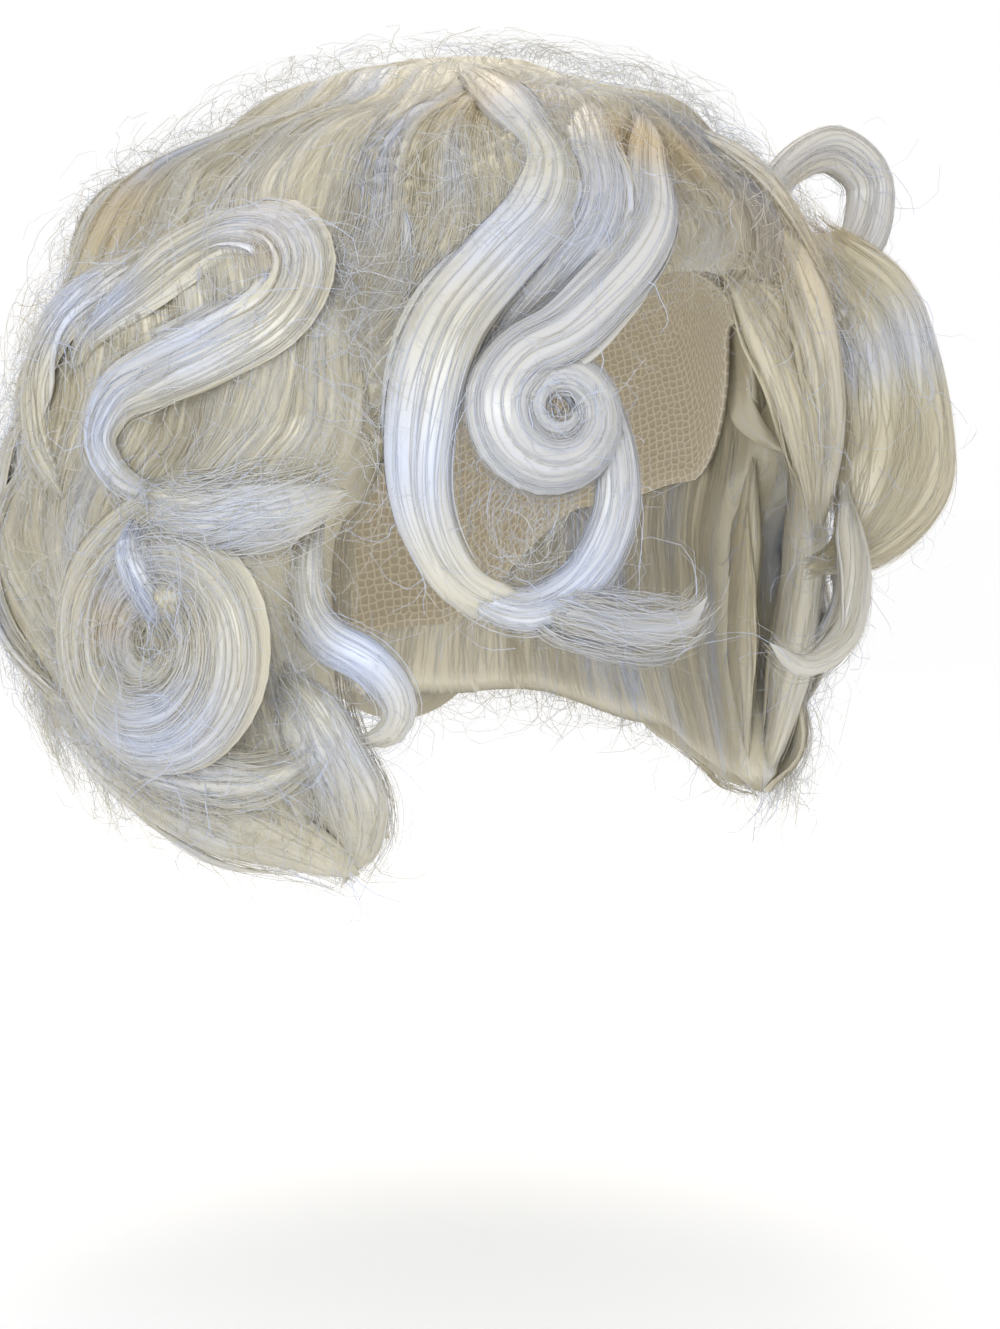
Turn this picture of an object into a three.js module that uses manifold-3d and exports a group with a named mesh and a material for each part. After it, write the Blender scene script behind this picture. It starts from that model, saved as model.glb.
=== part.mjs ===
// Short curly wig: a stretch net cap that carries full, curled synthetic hair in six zones.
// Millimetres, +Z up. The origin is the crown of the hollow inside the cap, and the front looks along -Y.
// A place on the wig is given as a bearing (degrees from the front, positive to the wearer's left),
// a drop below the crown and a reach out from the upright axis of the cap.
import * as THREE from "three";
import { mergeVertices } from "three/addons/utils/BufferGeometryUtils.js";
import Module from "manifold-3d";

const wasm = await Module();
wasm.setup();

// Hollow of the cap: half its breadth and length, and the height from its crown to its widest level
const HOLLOW_HALF_BREADTH = 76;
const HOLLOW_HALF_LENGTH = 97;
const HOLLOW_CROWN_HEIGHT = 105;

// Cap wall, the seat of the hair on it, the clearance between hair zones, and the cap's faceting
const CAP_WALL = 1.6;
const SEAT_GAP = 1.5;
const CLEARANCE = 0.4;
const CAP_COLUMNS = 30;
const CAP_ROWS = 7;

// Hair: height over the crown, thickness at its hem, fullness of the domed top and depth of its lobes
const CROWN_HAIR = 19;
const HEM_WALL = 13;
const DOME_POWER = 2.1;
const LOBE_DEPTH = 3.5;
const LOBES_ROUND = 9;
const LOBE_HEIGHT = 62;
const CROWN_ZONE_ARC = 74;
const CROWN_TAPER = 0.84;

// Locks: a flattened round section, and the step between sections along a lock
const SECTION_SIDES = 6;
const SECTION_STEP = 21;
const CHUNK_SECTIONS = 4;
const CURL_STEP = Math.PI / 4;

// Bearings where the zones meet, and how far the hair draws back from the front below the temple
const FRONT_EDGE = 58;
const FRONT_RETREAT = 9;
const RETREAT_FROM = 88;
const RETREAT_FULL = 125;
const RETREAT_TO = 205;
const PARTING = 6;
const SIDE_BACK_EDGE = 128;

// Edge of the cap, from the forehead past the ears to the nape
const CAP_EDGE = [
  { bearing: 0, drop: 46 },
  { bearing: 40, drop: 58 },
  { bearing: 72, drop: 104 },
  { bearing: 105, drop: 112 },
  { bearing: 145, drop: 152 },
  { bearing: 180, drop: 160 },
];

// Outer form of the hair under its curls: the widest reach with its level, and the hem with its reach
const FRONT_FORM = [
  { bearing: 0, widest: 93, level: 42, hem: 90, hemDrop: 52 },
  { bearing: 30, widest: 101, level: 50, hem: 96, hemDrop: 60 },
  { bearing: 45, widest: 106, level: 70, hem: 100, hemDrop: 82 },
  { bearing: 58, widest: 112, level: 86, hem: 106, hemDrop: 100 },
];
const SIDE_FORM = [
  { bearing: 58, widest: 114, level: 96, hem: 97, hemDrop: 206 },
  { bearing: 77, widest: 126, level: 104, hem: 104, hemDrop: 204 },
  { bearing: 100, widest: 132, level: 106, hem: 112, hemDrop: 190 },
  { bearing: 128, widest: 135, level: 104, hem: 118, hemDrop: 181 },
  { bearing: 155, widest: 136, level: 104, hem: 116, hemDrop: 181 },
  { bearing: 180, widest: 138, level: 104, hem: 114, hemDrop: 184 },
];

// Curved value of a table column at a bearing, the same on both sides
function fromTable(table, bearing, column) {
  const turn = Math.abs(bearing > 180 ? bearing - 360 : bearing);
  const last = table.length - 1;
  const after = table.findIndex((row) => row.bearing >= turn);
  const next = after < 0 ? last : Math.max(after, 1);
  const [a, b] = [table[next - 1], table[next]];
  const share = THREE.MathUtils.smoothstep(turn, a.bearing, b.bearing);
  return THREE.MathUtils.lerp(a[column], b[column], share);
}

function at(bearing, drop, reach) {
  const turn = THREE.MathUtils.degToRad(bearing);
  return new THREE.Vector3(reach * Math.sin(turn), -reach * Math.cos(turn), -drop);
}

// Reach of the hollow's surface, grown by a wall, at a bearing and drop
function hollowReach(bearing, drop, grow) {
  const turn = THREE.MathUtils.degToRad(bearing);
  const level = (HOLLOW_CROWN_HEIGHT - drop) / (HOLLOW_CROWN_HEIGHT + grow);
  const share = Math.sqrt(Math.max(0, 1 - level * level));
  const across = Math.sin(turn) / (HOLLOW_HALF_BREADTH + grow);
  const along = Math.cos(turn) / (HOLLOW_HALF_LENGTH + grow);
  return share / Math.hypot(across, along);
}

// Profile from the crown down over the hollow, as an arc-length curve of reach against drop
function hollowProfile(bearing, edgeDrop, grow, tail = []) {
  const bend = Math.acos((HOLLOW_CROWN_HEIGHT - edgeDrop) / (HOLLOW_CROWN_HEIGHT + grow));
  const points = [];
  const steps = 16;
  for (let i = 0; i <= steps; i++) {
    const drop = HOLLOW_CROWN_HEIGHT - (HOLLOW_CROWN_HEIGHT + grow) * Math.cos((bend * i) / steps);
    points.push(new THREE.Vector2(hollowReach(bearing, drop, grow), drop));
  }
  return new THREE.SplineCurve([...points, ...tail]);
}

const capEdgeDrop = (bearing) => fromTable(CAP_EDGE, bearing, "drop");

// Profile of the hair's outer form: a domed top down to its widest level, then in to the hem
function hairProfile(bearing, form, grow) {
  const [widest, level, hem, hemDrop] = ["widest", "level", "hem", "hemDrop"].map((column) =>
    fromTable(form, bearing, column),
  );
  const points = [];
  const domeSteps = 12;
  const hemSteps = 5;
  for (let i = 0; i <= domeSteps; i++) {
    const bend = (Math.PI / 2) * (i / domeSteps);
    const rise = Math.cos(bend) ** (2 / DOME_POWER);
    const spread = Math.sin(bend) ** (2 / DOME_POWER);
    points.push(new THREE.Vector2(widest * spread, level - (level + CROWN_HAIR) * rise));
  }
  for (let i = 1; i <= hemSteps; i++) {
    const share = i / hemSteps;
    points.push(new THREE.Vector2(widest - (widest - hem) * share ** 2, level + (hemDrop - level) * share));
  }
  for (const point of points) point.x += (grow * point.x) / widest;
  return new THREE.SplineCurve(points);
}

// Profile of the hair's inside: on the cap to its edge, then hanging free to the hem
function insideProfile(bearing, form) {
  const edge = capEdgeDrop(bearing);
  const grow = CAP_WALL + SEAT_GAP;
  const hemDrop = fromTable(form, bearing, "hemDrop");
  const edgeReach = hollowReach(bearing, edge, grow);
  const hemReach = Math.max(edgeReach, fromTable(form, bearing, "hem") - HEM_WALL);
  const tail = hemDrop > edge + 1 ? [
    new THREE.Vector2((edgeReach + hemReach) / 2, (edge + hemDrop) / 2),
    new THREE.Vector2(hemReach, hemDrop),
  ] : [];
  return hollowProfile(bearing, Math.min(edge, hemDrop), grow, tail);
}

// Soft lobes that break up the outer form, as rolled hair does
function lobe(bearing, drop) {
  const round = Math.sin(THREE.MathUtils.degToRad(bearing * LOBES_ROUND) + drop / LOBE_HEIGHT);
  return LOBE_DEPTH * round * Math.sin((Math.PI * drop) / LOBE_HEIGHT);
}

// Degrees by which the front edge of a side zone stands back from the front at a drop
function retreat(bearing, drop) {
  const fade = 1 - (Math.abs(bearing) - FRONT_EDGE) / (SIDE_BACK_EDGE - FRONT_EDGE);
  const down = THREE.MathUtils.smoothstep(drop, RETREAT_FROM, RETREAT_FULL);
  const back = 1 - THREE.MathUtils.smoothstep(drop, RETREAT_FULL + 30, RETREAT_TO);
  return Math.sign(bearing) * FRONT_RETREAT * fade * down * back;
}

// Closed shell between an outer and an inner grid of points, indexed [column][row]
function shellGeometry(outer, inner, ring) {
  const corners = [];
  const triangle = (a, b, c) => {
    const flat = a.distanceTo(b) < 1e-6 || b.distanceTo(c) < 1e-6 || c.distanceTo(a) < 1e-6;
    if (!flat) corners.push(a, b, c);
  };
  const quad = (a, b, c, d) => {
    triangle(a, b, c);
    triangle(a, c, d);
  };
  const columns = outer.length - 1;
  const rows = outer[0].length - 1;
  for (let i = 0; i < columns; i++) {
    const [o, p, n, m] = [outer[i], outer[i + 1], inner[i], inner[i + 1]];
    for (let j = 0; j < rows; j++) {
      quad(o[j], o[j + 1], p[j + 1], p[j]);
      quad(n[j], m[j], m[j + 1], n[j + 1]);
    }
    quad(p[rows], o[rows], n[rows], m[rows]);
    if (o[0].distanceTo(p[0]) > 1e-6) quad(o[0], p[0], m[0], n[0]);
  }
  if (!ring) {
    const [o, n] = [outer[0], inner[0]];
    const [p, m] = [outer[columns], inner[columns]];
    for (let j = 0; j < rows; j++) {
      quad(o[j + 1], o[j], n[j], n[j + 1]);
      quad(p[j], p[j + 1], m[j + 1], m[j]);
    }
  }
  return new THREE.BufferGeometry().setFromPoints(corners);
}

function solidOf(geometry) {
  const merged = mergeVertices(geometry, 1e-4);
  return new wasm.Manifold(
    new wasm.Mesh({
      numProp: 3,
      vertProperties: merged.getAttribute("position").array,
      triVerts: new Uint32Array(merged.index.array),
    }),
  );
}

function geometryOf(solid) {
  const mesh = solid.getMesh();
  const points = new Float32Array(mesh.numVert * 3);
  for (let i = 0; i < mesh.numVert; i++) {
    points.set(mesh.vertProperties.subarray(i * mesh.numProp, i * mesh.numProp + 3), i * 3);
  }
  const geometry = new THREE.BufferGeometry();
  geometry.setAttribute("position", new THREE.BufferAttribute(points, 3));
  geometry.setIndex(new THREE.BufferAttribute(mesh.triVerts, 1));
  geometry.computeVertexNormals();
  return geometry;
}

function largestBody(solid) {
  return solid.decompose().reduce((a, b) => (a.volume() > b.volume() ? a : b));
}

// Cap: one net wall, open below, with its edge cut high in front and low at the nape
function capGeometry() {
  const wall = (grow) =>
    Array.from({ length: CAP_COLUMNS + 1 }, (_, i) => {
      const bearing = (360 * (i % CAP_COLUMNS)) / CAP_COLUMNS;
      const profile = hollowProfile(bearing, capEdgeDrop(bearing), grow);
      return Array.from({ length: CAP_ROWS + 1 }, (_, j) => {
        const point = profile.getPointAt(j / CAP_ROWS);
        return at(bearing, point.y, j === 0 ? 0 : point.x);
      });
    });
  return shellGeometry(wall(CAP_WALL), wall(0), true);
}

// Backing of one hair zone: a slab over the cap between two bearings and two arcs down from the crown
function backing({ form, from, to, columns, rows, crown, drawnBack }, grow) {
  const ring = to - from === 360;
  const margin = ring ? 0 : CLEARANCE - grow;
  const outer = [];
  const inner = [];
  for (let i = 0; i <= columns; i++) {
    const bearing = from + ((to - from) * (ring && i === columns ? 0 : i)) / columns;
    const shape = typeof form === "function" ? form(bearing) : form;
    const outside = hairProfile(bearing, shape, 0);
    const inside = insideProfile(bearing, shape);
    const gap = CLEARANCE - grow;
    const arcs = (curve, split) => {
      const length = curve.getLength();
      const [start, end] = crown ? [0, split - gap] : [split + gap, length];
      return (j) => curve.getPointAt(THREE.MathUtils.lerp(start, end, j / rows) / length);
    };
    const outsideAt = arcs(outside, CROWN_ZONE_ARC);
    const insideAt = arcs(inside, CROWN_ZONE_ARC * CROWN_TAPER);
    const edge = i === 0 ? margin : i === columns ? -margin : 0;
    const outerColumn = [];
    const innerColumn = [];
    for (let j = 0; j <= rows; j++) {
      const far = outsideAt(j);
      const near = insideAt(j);
      const pole = crown && j === 0;
      const swell = pole ? 0 : lobe(bearing, far.y) + grow;
      const stand = drawnBack ? retreat(bearing, far.y) : 0;
      const turn = pole ? 0 : stand + THREE.MathUtils.radToDeg(edge / Math.max(far.x, 1));
      outerColumn.push(at(bearing + turn, far.y, pole ? 0 : far.x + swell));
      innerColumn.push(at(bearing + turn, near.y, pole ? 0 : near.x));
    }
    outer.push(outerColumn);
    inner.push(innerColumn);
  }
  return solidOf(shellGeometry(outer, inner, ring));
}

// Points of the curl at a lock's end: a spiral flat on the hair that closes in and rises to its middle
function curlPoints(last, before, { radius, turns, hand, close, lift }) {
  const along = last.clone().sub(before).normalize();
  const outward = new THREE.Vector3(last.x, last.y, 0).normalize();
  const side = new THREE.Vector3().crossVectors(outward, along).multiplyScalar(hand).normalize();
  const axis = new THREE.Vector3().crossVectors(along, side).multiplyScalar(hand);
  const centre = last.clone().addScaledVector(side, radius);
  const steps = Math.ceil((2 * Math.PI * turns) / CURL_STEP);
  return Array.from({ length: steps }, (_, i) => {
    const share = (i + 1) / steps;
    const angle = 2 * Math.PI * turns * share;
    const reach = radius * (1 - close * share);
    return centre
      .clone()
      .addScaledVector(side, -reach * Math.cos(angle))
      .addScaledVector(along, reach * Math.sin(angle))
      .addScaledVector(axis, lift * share);
  });
}

function lockCurve({ via, curl }) {
  const ending = curl ? curlPoints(via.at(-1), via.at(-2), curl) : [];
  return new THREE.CatmullRomCurve3([...via, ...ending], false, "centripetal");
}

// Fullness along a lock: gathered at the root, full in the middle and drawn in at the tip
function fullness(share, root, tip) {
  const fromRoot = THREE.MathUtils.lerp(root, 1, THREE.MathUtils.smoothstep(share, 0, 0.3));
  return fromRoot * THREE.MathUtils.lerp(1, tip, THREE.MathUtils.smoothstep(share, 0.6, 1));
}

// One lock as a tapering flattened tube, joined from short chunks so that a tight curl can cross itself
function lock(row, grow) {
  const { width, thick, roll = [0, 0], root = 0.7, tip = 0.4, step = SECTION_STEP } = row;
  const curve = lockCurve(row);
  const sections = Math.max(5, Math.ceil(curve.getLength() / step));
  const rings = [];
  let across = null;
  for (let i = 0; i <= sections; i++) {
    const share = i / sections;
    const centre = curve.getPointAt(share);
    const along = curve.getTangentAt(share);
    const outward = new THREE.Vector3(centre.x, centre.y, Math.max(0, centre.z)).normalize();
    across = across ?? new THREE.Vector3().crossVectors(along, outward).normalize();
    across.addScaledVector(along, -across.dot(along)).normalize();
    const turn = THREE.MathUtils.degToRad(THREE.MathUtils.lerp(roll[0], roll[1], share));
    const wide = across.clone().applyAxisAngle(along, turn);
    const deep = new THREE.Vector3().crossVectors(along, wide);
    const full = fullness(share, root, tip);
    if (i === 0) centre.addScaledVector(along, -grow);
    if (i === sections) centre.addScaledVector(along, grow);
    rings.push(
      Array.from({ length: SECTION_SIDES }, (_, k) => {
        const angle = (2 * Math.PI * k) / SECTION_SIDES;
        return centre
          .clone()
          .addScaledVector(wide, ((width * full) / 2 + grow) * Math.cos(angle))
          .addScaledVector(deep, ((thick * full) / 2 + grow) * Math.sin(angle));
      }),
    );
  }
  const chunks = [];
  for (let start = 0; start < sections; start += CHUNK_SECTIONS) {
    chunks.push(tube(rings.slice(start, Math.min(start + CHUNK_SECTIONS, sections) + 1)));
  }
  return wasm.Manifold.union(chunks);
}

// Closed tube through a run of section rings
function tube(rings) {
  const corners = [];
  const next = (k) => (k + 1) % SECTION_SIDES;
  for (let i = 0; i + 1 < rings.length; i++) {
    for (let k = 0; k < SECTION_SIDES; k++) {
      const [a, b, c, d] = [rings[i][k], rings[i][next(k)], rings[i + 1][next(k)], rings[i + 1][k]];
      corners.push(a, b, c, a, c, d);
    }
  }
  const [first, last] = [rings[0], rings.at(-1)];
  for (let k = 1; k + 1 < SECTION_SIDES; k++) {
    corners.push(first[0], first[k + 1], first[k]);
    corners.push(last[0], last[k], last[k + 1]);
  }
  return solidOf(new THREE.BufferGeometry().setFromPoints(corners));
}

// Locks from the parting over the right of the front, each through a few places on its way and into its curl
const FRINGE_RIGHT_LOCKS = [
  {
    name: "side sweep",
    via: [
      at(-20, 2, 58),
      at(-32, 15, 85),
      at(-33, 29, 102),
      at(-44, 55, 114),
      at(-50, 80, 120),
      at(-50, 112, 120),
      at(-45, 134, 117),
      at(-36, 140, 116),
    ],
    width: 19,
    thick: 10,
    tip: 0.5,
  },
  {
    name: "forehead lock and cheek curl",
    via: [
      at(0, -1, 63),
      at(-13, 21, 93),
      at(-17, 36, 104),
      at(-22, 48, 110),
      at(-28, 59, 116),
      at(-33, 68, 120),
      at(-38, 74, 122),
    ],
    curl: { radius: 16.5, turns: 1.3, hand: 1, close: 0.55, lift: 4 },
    width: 20,
    thick: 8,
    roll: [0, 75],
    step: 11,
    tip: 0.5,
  },
  {
    name: "under loop",
    via: [
      at(-22, 54, 108),
      at(-27, 84, 116),
      at(-27, 114, 117),
      at(-32, 133, 116),
      at(-41, 125, 113),
      at(-43, 100, 112),
    ],
    width: 16,
    thick: 9,
  },
  {
    name: "cheek flick",
    via: [at(-38, 138, 115), at(-27, 146, 121), at(-19, 144, 123), at(-13, 135, 123)],
    width: 20,
    thick: 10,
    root: 0.35,
    tip: 0.6,
  },
  {
    name: "middle forehead lock",
    via: [at(-5, 4, 60), at(-23, 31, 99), at(-36, 57, 111), at(-43, 85, 114)],
    width: 20,
    thick: 9,
  },
  {
    name: "temple lock",
    via: [at(-48, 14, 84), at(-53, 45, 106), at(-54, 70, 112), at(-58, 94, 112)],
    width: 28,
    thick: 13,
  },
];

// Locks left of the parting: a flipped loop, then a full curl and a small ring that hang by the cheek
const FRINGE_LEFT_LOCKS = [
  {
    name: "flipped loop",
    via: [
      at(32, 44, 95),
      at(37, 22, 89),
      at(44, 9, 98),
      at(49, 4, 111),
      at(52, 12, 123),
      at(51, 27, 122),
      at(46, 41, 113),
      at(42, 58, 108),
    ],
    width: 15,
    thick: 7,
    root: 0.9,
    tip: 0.9,
    step: 11,
  },
  {
    name: "full cheek curl",
    via: [
      at(40, 34, 98),
      at(48, 52, 117),
      at(49, 80, 127),
      at(46, 106, 127),
      at(42, 124, 117),
      at(35, 130, 102),
    ],
    width: 40,
    thick: 26,
    roll: [60, 60],
    root: 0.6,
    tip: 0.5,
  },
  {
    name: "inner cheek lock",
    via: [at(20, 32, 97), at(30, 62, 104), at(38, 92, 107), at(39, 118, 106)],
    width: 26,
    thick: 12,
  },
  {
    name: "jaw ring",
    via: [at(38, 118, 112), at(32, 136, 116), at(30, 150, 113), at(25, 158, 103), at(21, 151, 95)],
    width: 15,
    thick: 10,
    root: 0.9,
    step: 10,
  },
  {
    name: "forehead wave",
    via: [at(10, 0, 64), at(22, 18, 90), at(30, 40, 102), at(44, 60, 110)],
    width: 24,
    thick: 10,
  },
];

const SIDE_RIGHT_LOCKS = [
  {
    name: "upper S lock",
    via: [
      at(-88, 58, 125),
      at(-77, 47, 125),
      at(-67, 49, 125),
      at(-64, 62, 128),
      at(-71, 76, 133),
      at(-82, 86, 136),
      at(-85, 100, 136),
      at(-79, 111, 134),
    ],
    width: 17,
    thick: 12,
  },
  {
    name: "turned over band",
    via: [at(-84, 110, 134), at(-75, 119, 136), at(-67, 117, 132), at(-60, 108, 120)],
    width: 22,
    thick: 13,
    root: 0.5,
  },
  {
    name: "big ring curl",
    via: [at(-68, 103, 124), at(-80, 109, 130), at(-88, 121, 132)],
    curl: { radius: 30, turns: 1.4, hand: 1, close: 0.62, lift: 4 },
    width: 17,
    thick: 16,
    tip: 0.6,
  },
  {
    name: "ear curl",
    via: [
      at(-66, 108, 108),
      at(-67, 128, 112),
      at(-63, 146, 113),
      at(-54.5, 158, 112),
      at(-53.5, 164, 111),
      at(-55, 170, 110),
      at(-60, 173, 109),
    ],
    width: 13,
    thick: 9,
    tip: 0.5,
    step: 10,
  },
  {
    name: "hem sweep",
    via: [at(-106, 168, 125), at(-91, 183, 121), at(-77, 196, 113), at(-63, 208, 103)],
    width: 26,
    thick: 17,
    tip: 0.5,
  },
  {
    name: "upper hem sweep",
    via: [at(-100, 163, 128), at(-82, 184, 126), at(-70, 186, 118), at(-60, 176, 109)],
    width: 20,
    thick: 12,
  },
  {
    name: "neck lock",
    via: [at(-70, 160, 112), at(-64, 176, 108), at(-62, 192, 103), at(-66, 208, 97)],
    width: 22,
    thick: 13,
  },
  {
    name: "ear wave",
    via: [at(-66, 24, 96), at(-62, 48, 111), at(-60, 74, 116), at(-63, 104, 116)],
    width: 32,
    thick: 14,
  },
  {
    name: "rear stroke",
    via: [at(-84, 42, 116), at(-88, 60, 129), at(-94, 84, 134), at(-99, 108, 134)],
    width: 22,
    thick: 12,
  },
  {
    name: "rear wave",
    via: [
      at(-112, 34, 110),
      at(-106, 58, 126),
      at(-113, 88, 133),
      at(-107, 122, 133),
      at(-114, 152, 128),
      at(-110, 174, 122),
    ],
    width: 28,
    thick: 14,
  },
];

const SIDE_LEFT_LOCKS = [
  {
    name: "upper S lock",
    via: [
      at(94, 58, 125),
      at(81, 46, 125),
      at(70, 52, 125),
      at(68, 68, 130),
      at(79, 83, 135),
      at(90, 96, 136),
      at(84, 112, 133),
    ],
    width: 18,
    thick: 12,
  },
  {
    name: "big ring curl",
    via: [at(70, 106, 124), at(84, 116, 130), at(92, 129, 132)],
    curl: { radius: 27, turns: 1.4, hand: -1, close: 0.62, lift: 4 },
    width: 17,
    thick: 16,
    tip: 0.6,
  },
  {
    name: "ear curl",
    via: [at(66, 92, 112), at(66, 122, 114), at(61, 146, 112)],
    curl: { radius: 12, turns: 0.8, hand: -1, close: 0.3, lift: 4 },
    width: 17,
    thick: 11,
    step: 10,
  },
  {
    name: "hem sweep",
    via: [at(105, 174, 124), at(91, 192, 119), at(78, 202, 111), at(64, 207, 102)],
    width: 26,
    thick: 17,
    tip: 0.5,
  },
  {
    name: "neck lock",
    via: [at(68, 162, 112), at(59, 180, 106), at(61, 204, 99)],
    width: 24,
    thick: 13,
  },
  {
    name: "ear wave",
    via: [at(64, 24, 96), at(62, 48, 111), at(60, 72, 116), at(64, 100, 116)],
    width: 30,
    thick: 14,
  },
  {
    name: "rear wave",
    via: [
      at(112, 34, 110),
      at(105, 60, 126),
      at(113, 90, 133),
      at(106, 124, 133),
      at(114, 154, 128),
      at(109, 174, 122),
    ],
    width: 28,
    thick: 14,
  },
];

// Pin curls over the back, in staggered rows, each wound the other way from its neighbour
const BACK_CURL_ROWS = [
  { drop: 62, reach: 130, radius: 26, bearings: [147, 180, 213] },
  { drop: 110, reach: 135, radius: 27, bearings: [133, 163, 197, 227] },
  { drop: 156, reach: 128, radius: 24, bearings: [149, 180, 211] },
];
const BACK_LOCKS = BACK_CURL_ROWS.flatMap(({ drop, reach, radius, bearings }) =>
  bearings.map((bearing, i) => {
    const hand = i % 2 ? -1 : 1;
    const aside = THREE.MathUtils.radToDeg(radius / reach) * hand;
    return {
      name: "pin curl",
      via: [
        at(bearing + 0.6 * aside, drop - radius - 14, reach - 10),
        at(bearing - 0.7 * aside, drop - 0.7 * radius, reach),
      ],
      curl: { radius, turns: 1.2, hand, close: 0.6, lift: 4 },
      width: 20,
      thick: 17,
      tip: 0.6,
      step: 23,
    };
  }),
);

// Waves that spread over the crown from the raised tuft at its front
const CROWN_WAVES = [
  { bearing: -46, swing: 4, end: 98 },
  { bearing: -84, swing: -8, end: 108 },
  { bearing: -122, swing: 8, end: 112 },
  { bearing: 180, swing: -10, end: 114 },
  { bearing: 128, swing: 8, end: 112 },
  { bearing: 84, swing: -8, end: 108 },
  { bearing: 26, swing: -5, end: 84 },
];
const CROWN_LOCKS = [
  {
    name: "raised tuft",
    via: [at(110, -10, 38), at(70, -19, 14), at(-70, -21, 16), at(-44, -8, 44)],
    width: 28,
    thick: 14,
    root: 0.6,
  },
  ...CROWN_WAVES.map(({ bearing, swing, end }) => ({
    name: "crown wave",
    via: [
      at(bearing - swing, -14, 30),
      at(bearing + swing, -5, 58),
      at(bearing - swing, 9, (60 + end) / 2),
      at(bearing, 26, end),
    ],
    width: 40,
    thick: 12,
  })),
];

// Hair zones in the order they are laid: a later zone gives way to the locks of an earlier one
const wholeForm = (bearing) => {
  const turn = Math.abs(bearing > 180 ? bearing - 360 : bearing);
  return turn < FRONT_EDGE ? FRONT_FORM : SIDE_FORM;
};
const FRONT = { form: FRONT_FORM, rows: 5, columns: 7 };
const SIDE = { form: SIDE_FORM, rows: 8, columns: 7, drawnBack: true };
const BACK = { form: SIDE_FORM, rows: 8, columns: 10 };
const CROWN = { form: wholeForm, rows: 4, columns: 24, crown: true };
const ZONES = [
  { name: "fringe_right", ...FRONT, from: -FRONT_EDGE, to: PARTING, locks: FRINGE_RIGHT_LOCKS },
  { name: "fringe_left", ...FRONT, from: PARTING, to: FRONT_EDGE, locks: FRINGE_LEFT_LOCKS },
  { name: "crown_hair", ...CROWN, from: 0, to: 360, locks: CROWN_LOCKS },
  { name: "side_right", ...SIDE, from: -SIDE_BACK_EDGE, to: -FRONT_EDGE, locks: SIDE_RIGHT_LOCKS },
  { name: "side_left", ...SIDE, from: FRONT_EDGE, to: SIDE_BACK_EDGE, locks: SIDE_LEFT_LOCKS },
  { name: "back_hair", ...BACK, from: SIDE_BACK_EDGE, to: 360 - SIDE_BACK_EDGE, locks: BACK_LOCKS },
];

const netMaterial = new THREE.MeshStandardMaterial({ color: 0xe6dcc4, roughness: 0.85, metalness: 0 });
const hairMaterial = new THREE.MeshStandardMaterial({ color: 0xe4e0cf, roughness: 0.42, metalness: 0 });

const wig = new THREE.Group();
const cap = new THREE.Mesh(capGeometry(), netMaterial);
cap.name = "cap";
wig.add(cap);

// Each zone is cut back from what was laid before it, grown by the clearance
const laid = [];
for (const zone of ZONES) {
  const zoneSolid = (grow) =>
    wasm.Manifold.union([backing(zone, grow), ...zone.locks.map((row) => lock(row, grow))]);
  const clear = laid.reduce((solid, other) => solid.subtract(other), zoneSolid(0));
  const mesh = new THREE.Mesh(geometryOf(largestBody(clear)), hairMaterial);
  mesh.name = zone.name;
  wig.add(mesh);
  laid.push(zoneSolid(CLEARANCE));
}

export default wig;
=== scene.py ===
import bpy
import math
import numpy as np
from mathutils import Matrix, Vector


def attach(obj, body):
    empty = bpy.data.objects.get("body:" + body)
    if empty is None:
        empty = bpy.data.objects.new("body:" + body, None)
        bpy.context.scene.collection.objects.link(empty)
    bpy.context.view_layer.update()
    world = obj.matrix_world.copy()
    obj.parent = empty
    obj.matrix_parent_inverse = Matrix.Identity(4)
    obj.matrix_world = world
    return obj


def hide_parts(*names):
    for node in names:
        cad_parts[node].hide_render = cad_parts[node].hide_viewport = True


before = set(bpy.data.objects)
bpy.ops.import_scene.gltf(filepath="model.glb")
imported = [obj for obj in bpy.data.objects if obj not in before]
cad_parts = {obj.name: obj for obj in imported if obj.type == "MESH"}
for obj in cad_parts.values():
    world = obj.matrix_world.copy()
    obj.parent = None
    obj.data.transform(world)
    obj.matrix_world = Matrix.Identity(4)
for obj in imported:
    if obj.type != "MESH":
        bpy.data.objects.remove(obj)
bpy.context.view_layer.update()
print("frame loaded:", sorted(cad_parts))

mm = 0.001

# camera first: the photo's viewing angle, with its frame taken as 1000 by 1329
photoView = {
    "azimuth": -45,
    "elevation": 4,
    "distance": 0.700,
    "aim": (0.0065, -0.0065, -0.160),
    "lens": 62.17,
    "sensor": 36,
}


def makeCamera(view):
    a, e = math.radians(view["azimuth"]), math.radians(view["elevation"])
    back = Vector((math.sin(a) * math.cos(e), -math.cos(a) * math.cos(e), math.sin(e)))
    data = bpy.data.cameras.new("photoCamera")
    data.lens, data.sensor_width = view["lens"], view["sensor"]
    data.clip_start, data.clip_end = 0.01, 60
    cam = bpy.data.objects.new("photoCamera", data)
    bpy.context.scene.collection.objects.link(cam)
    cam.location = Vector(view["aim"]) + back * view["distance"]
    cam.rotation_mode = "QUATERNION"
    cam.rotation_quaternion = (-back).to_track_quat("-Z", "Y")
    bpy.context.scene.camera = cam


makeCamera(photoView)
print("camera placed")


# small helpers


def unit(v):
    return v / np.maximum(np.linalg.norm(v, axis=-1, keepdims=True), 1e-9)


def ease(x, low, high):
    t = np.clip((np.asarray(x, float) - low) / (high - low), 0, 1)
    return t * t * (3 - 2 * t)


def at(bearing, drop, reach):  # degrees from the front, then mm below the crown and mm out from the axis
    turn = np.radians(np.asarray(bearing, float))
    reach = np.asarray(reach, float)
    drop = np.asarray(drop, float) + 0 * turn * reach
    return np.stack([reach * np.sin(turn), -reach * np.cos(turn), -drop], -1)


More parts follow.
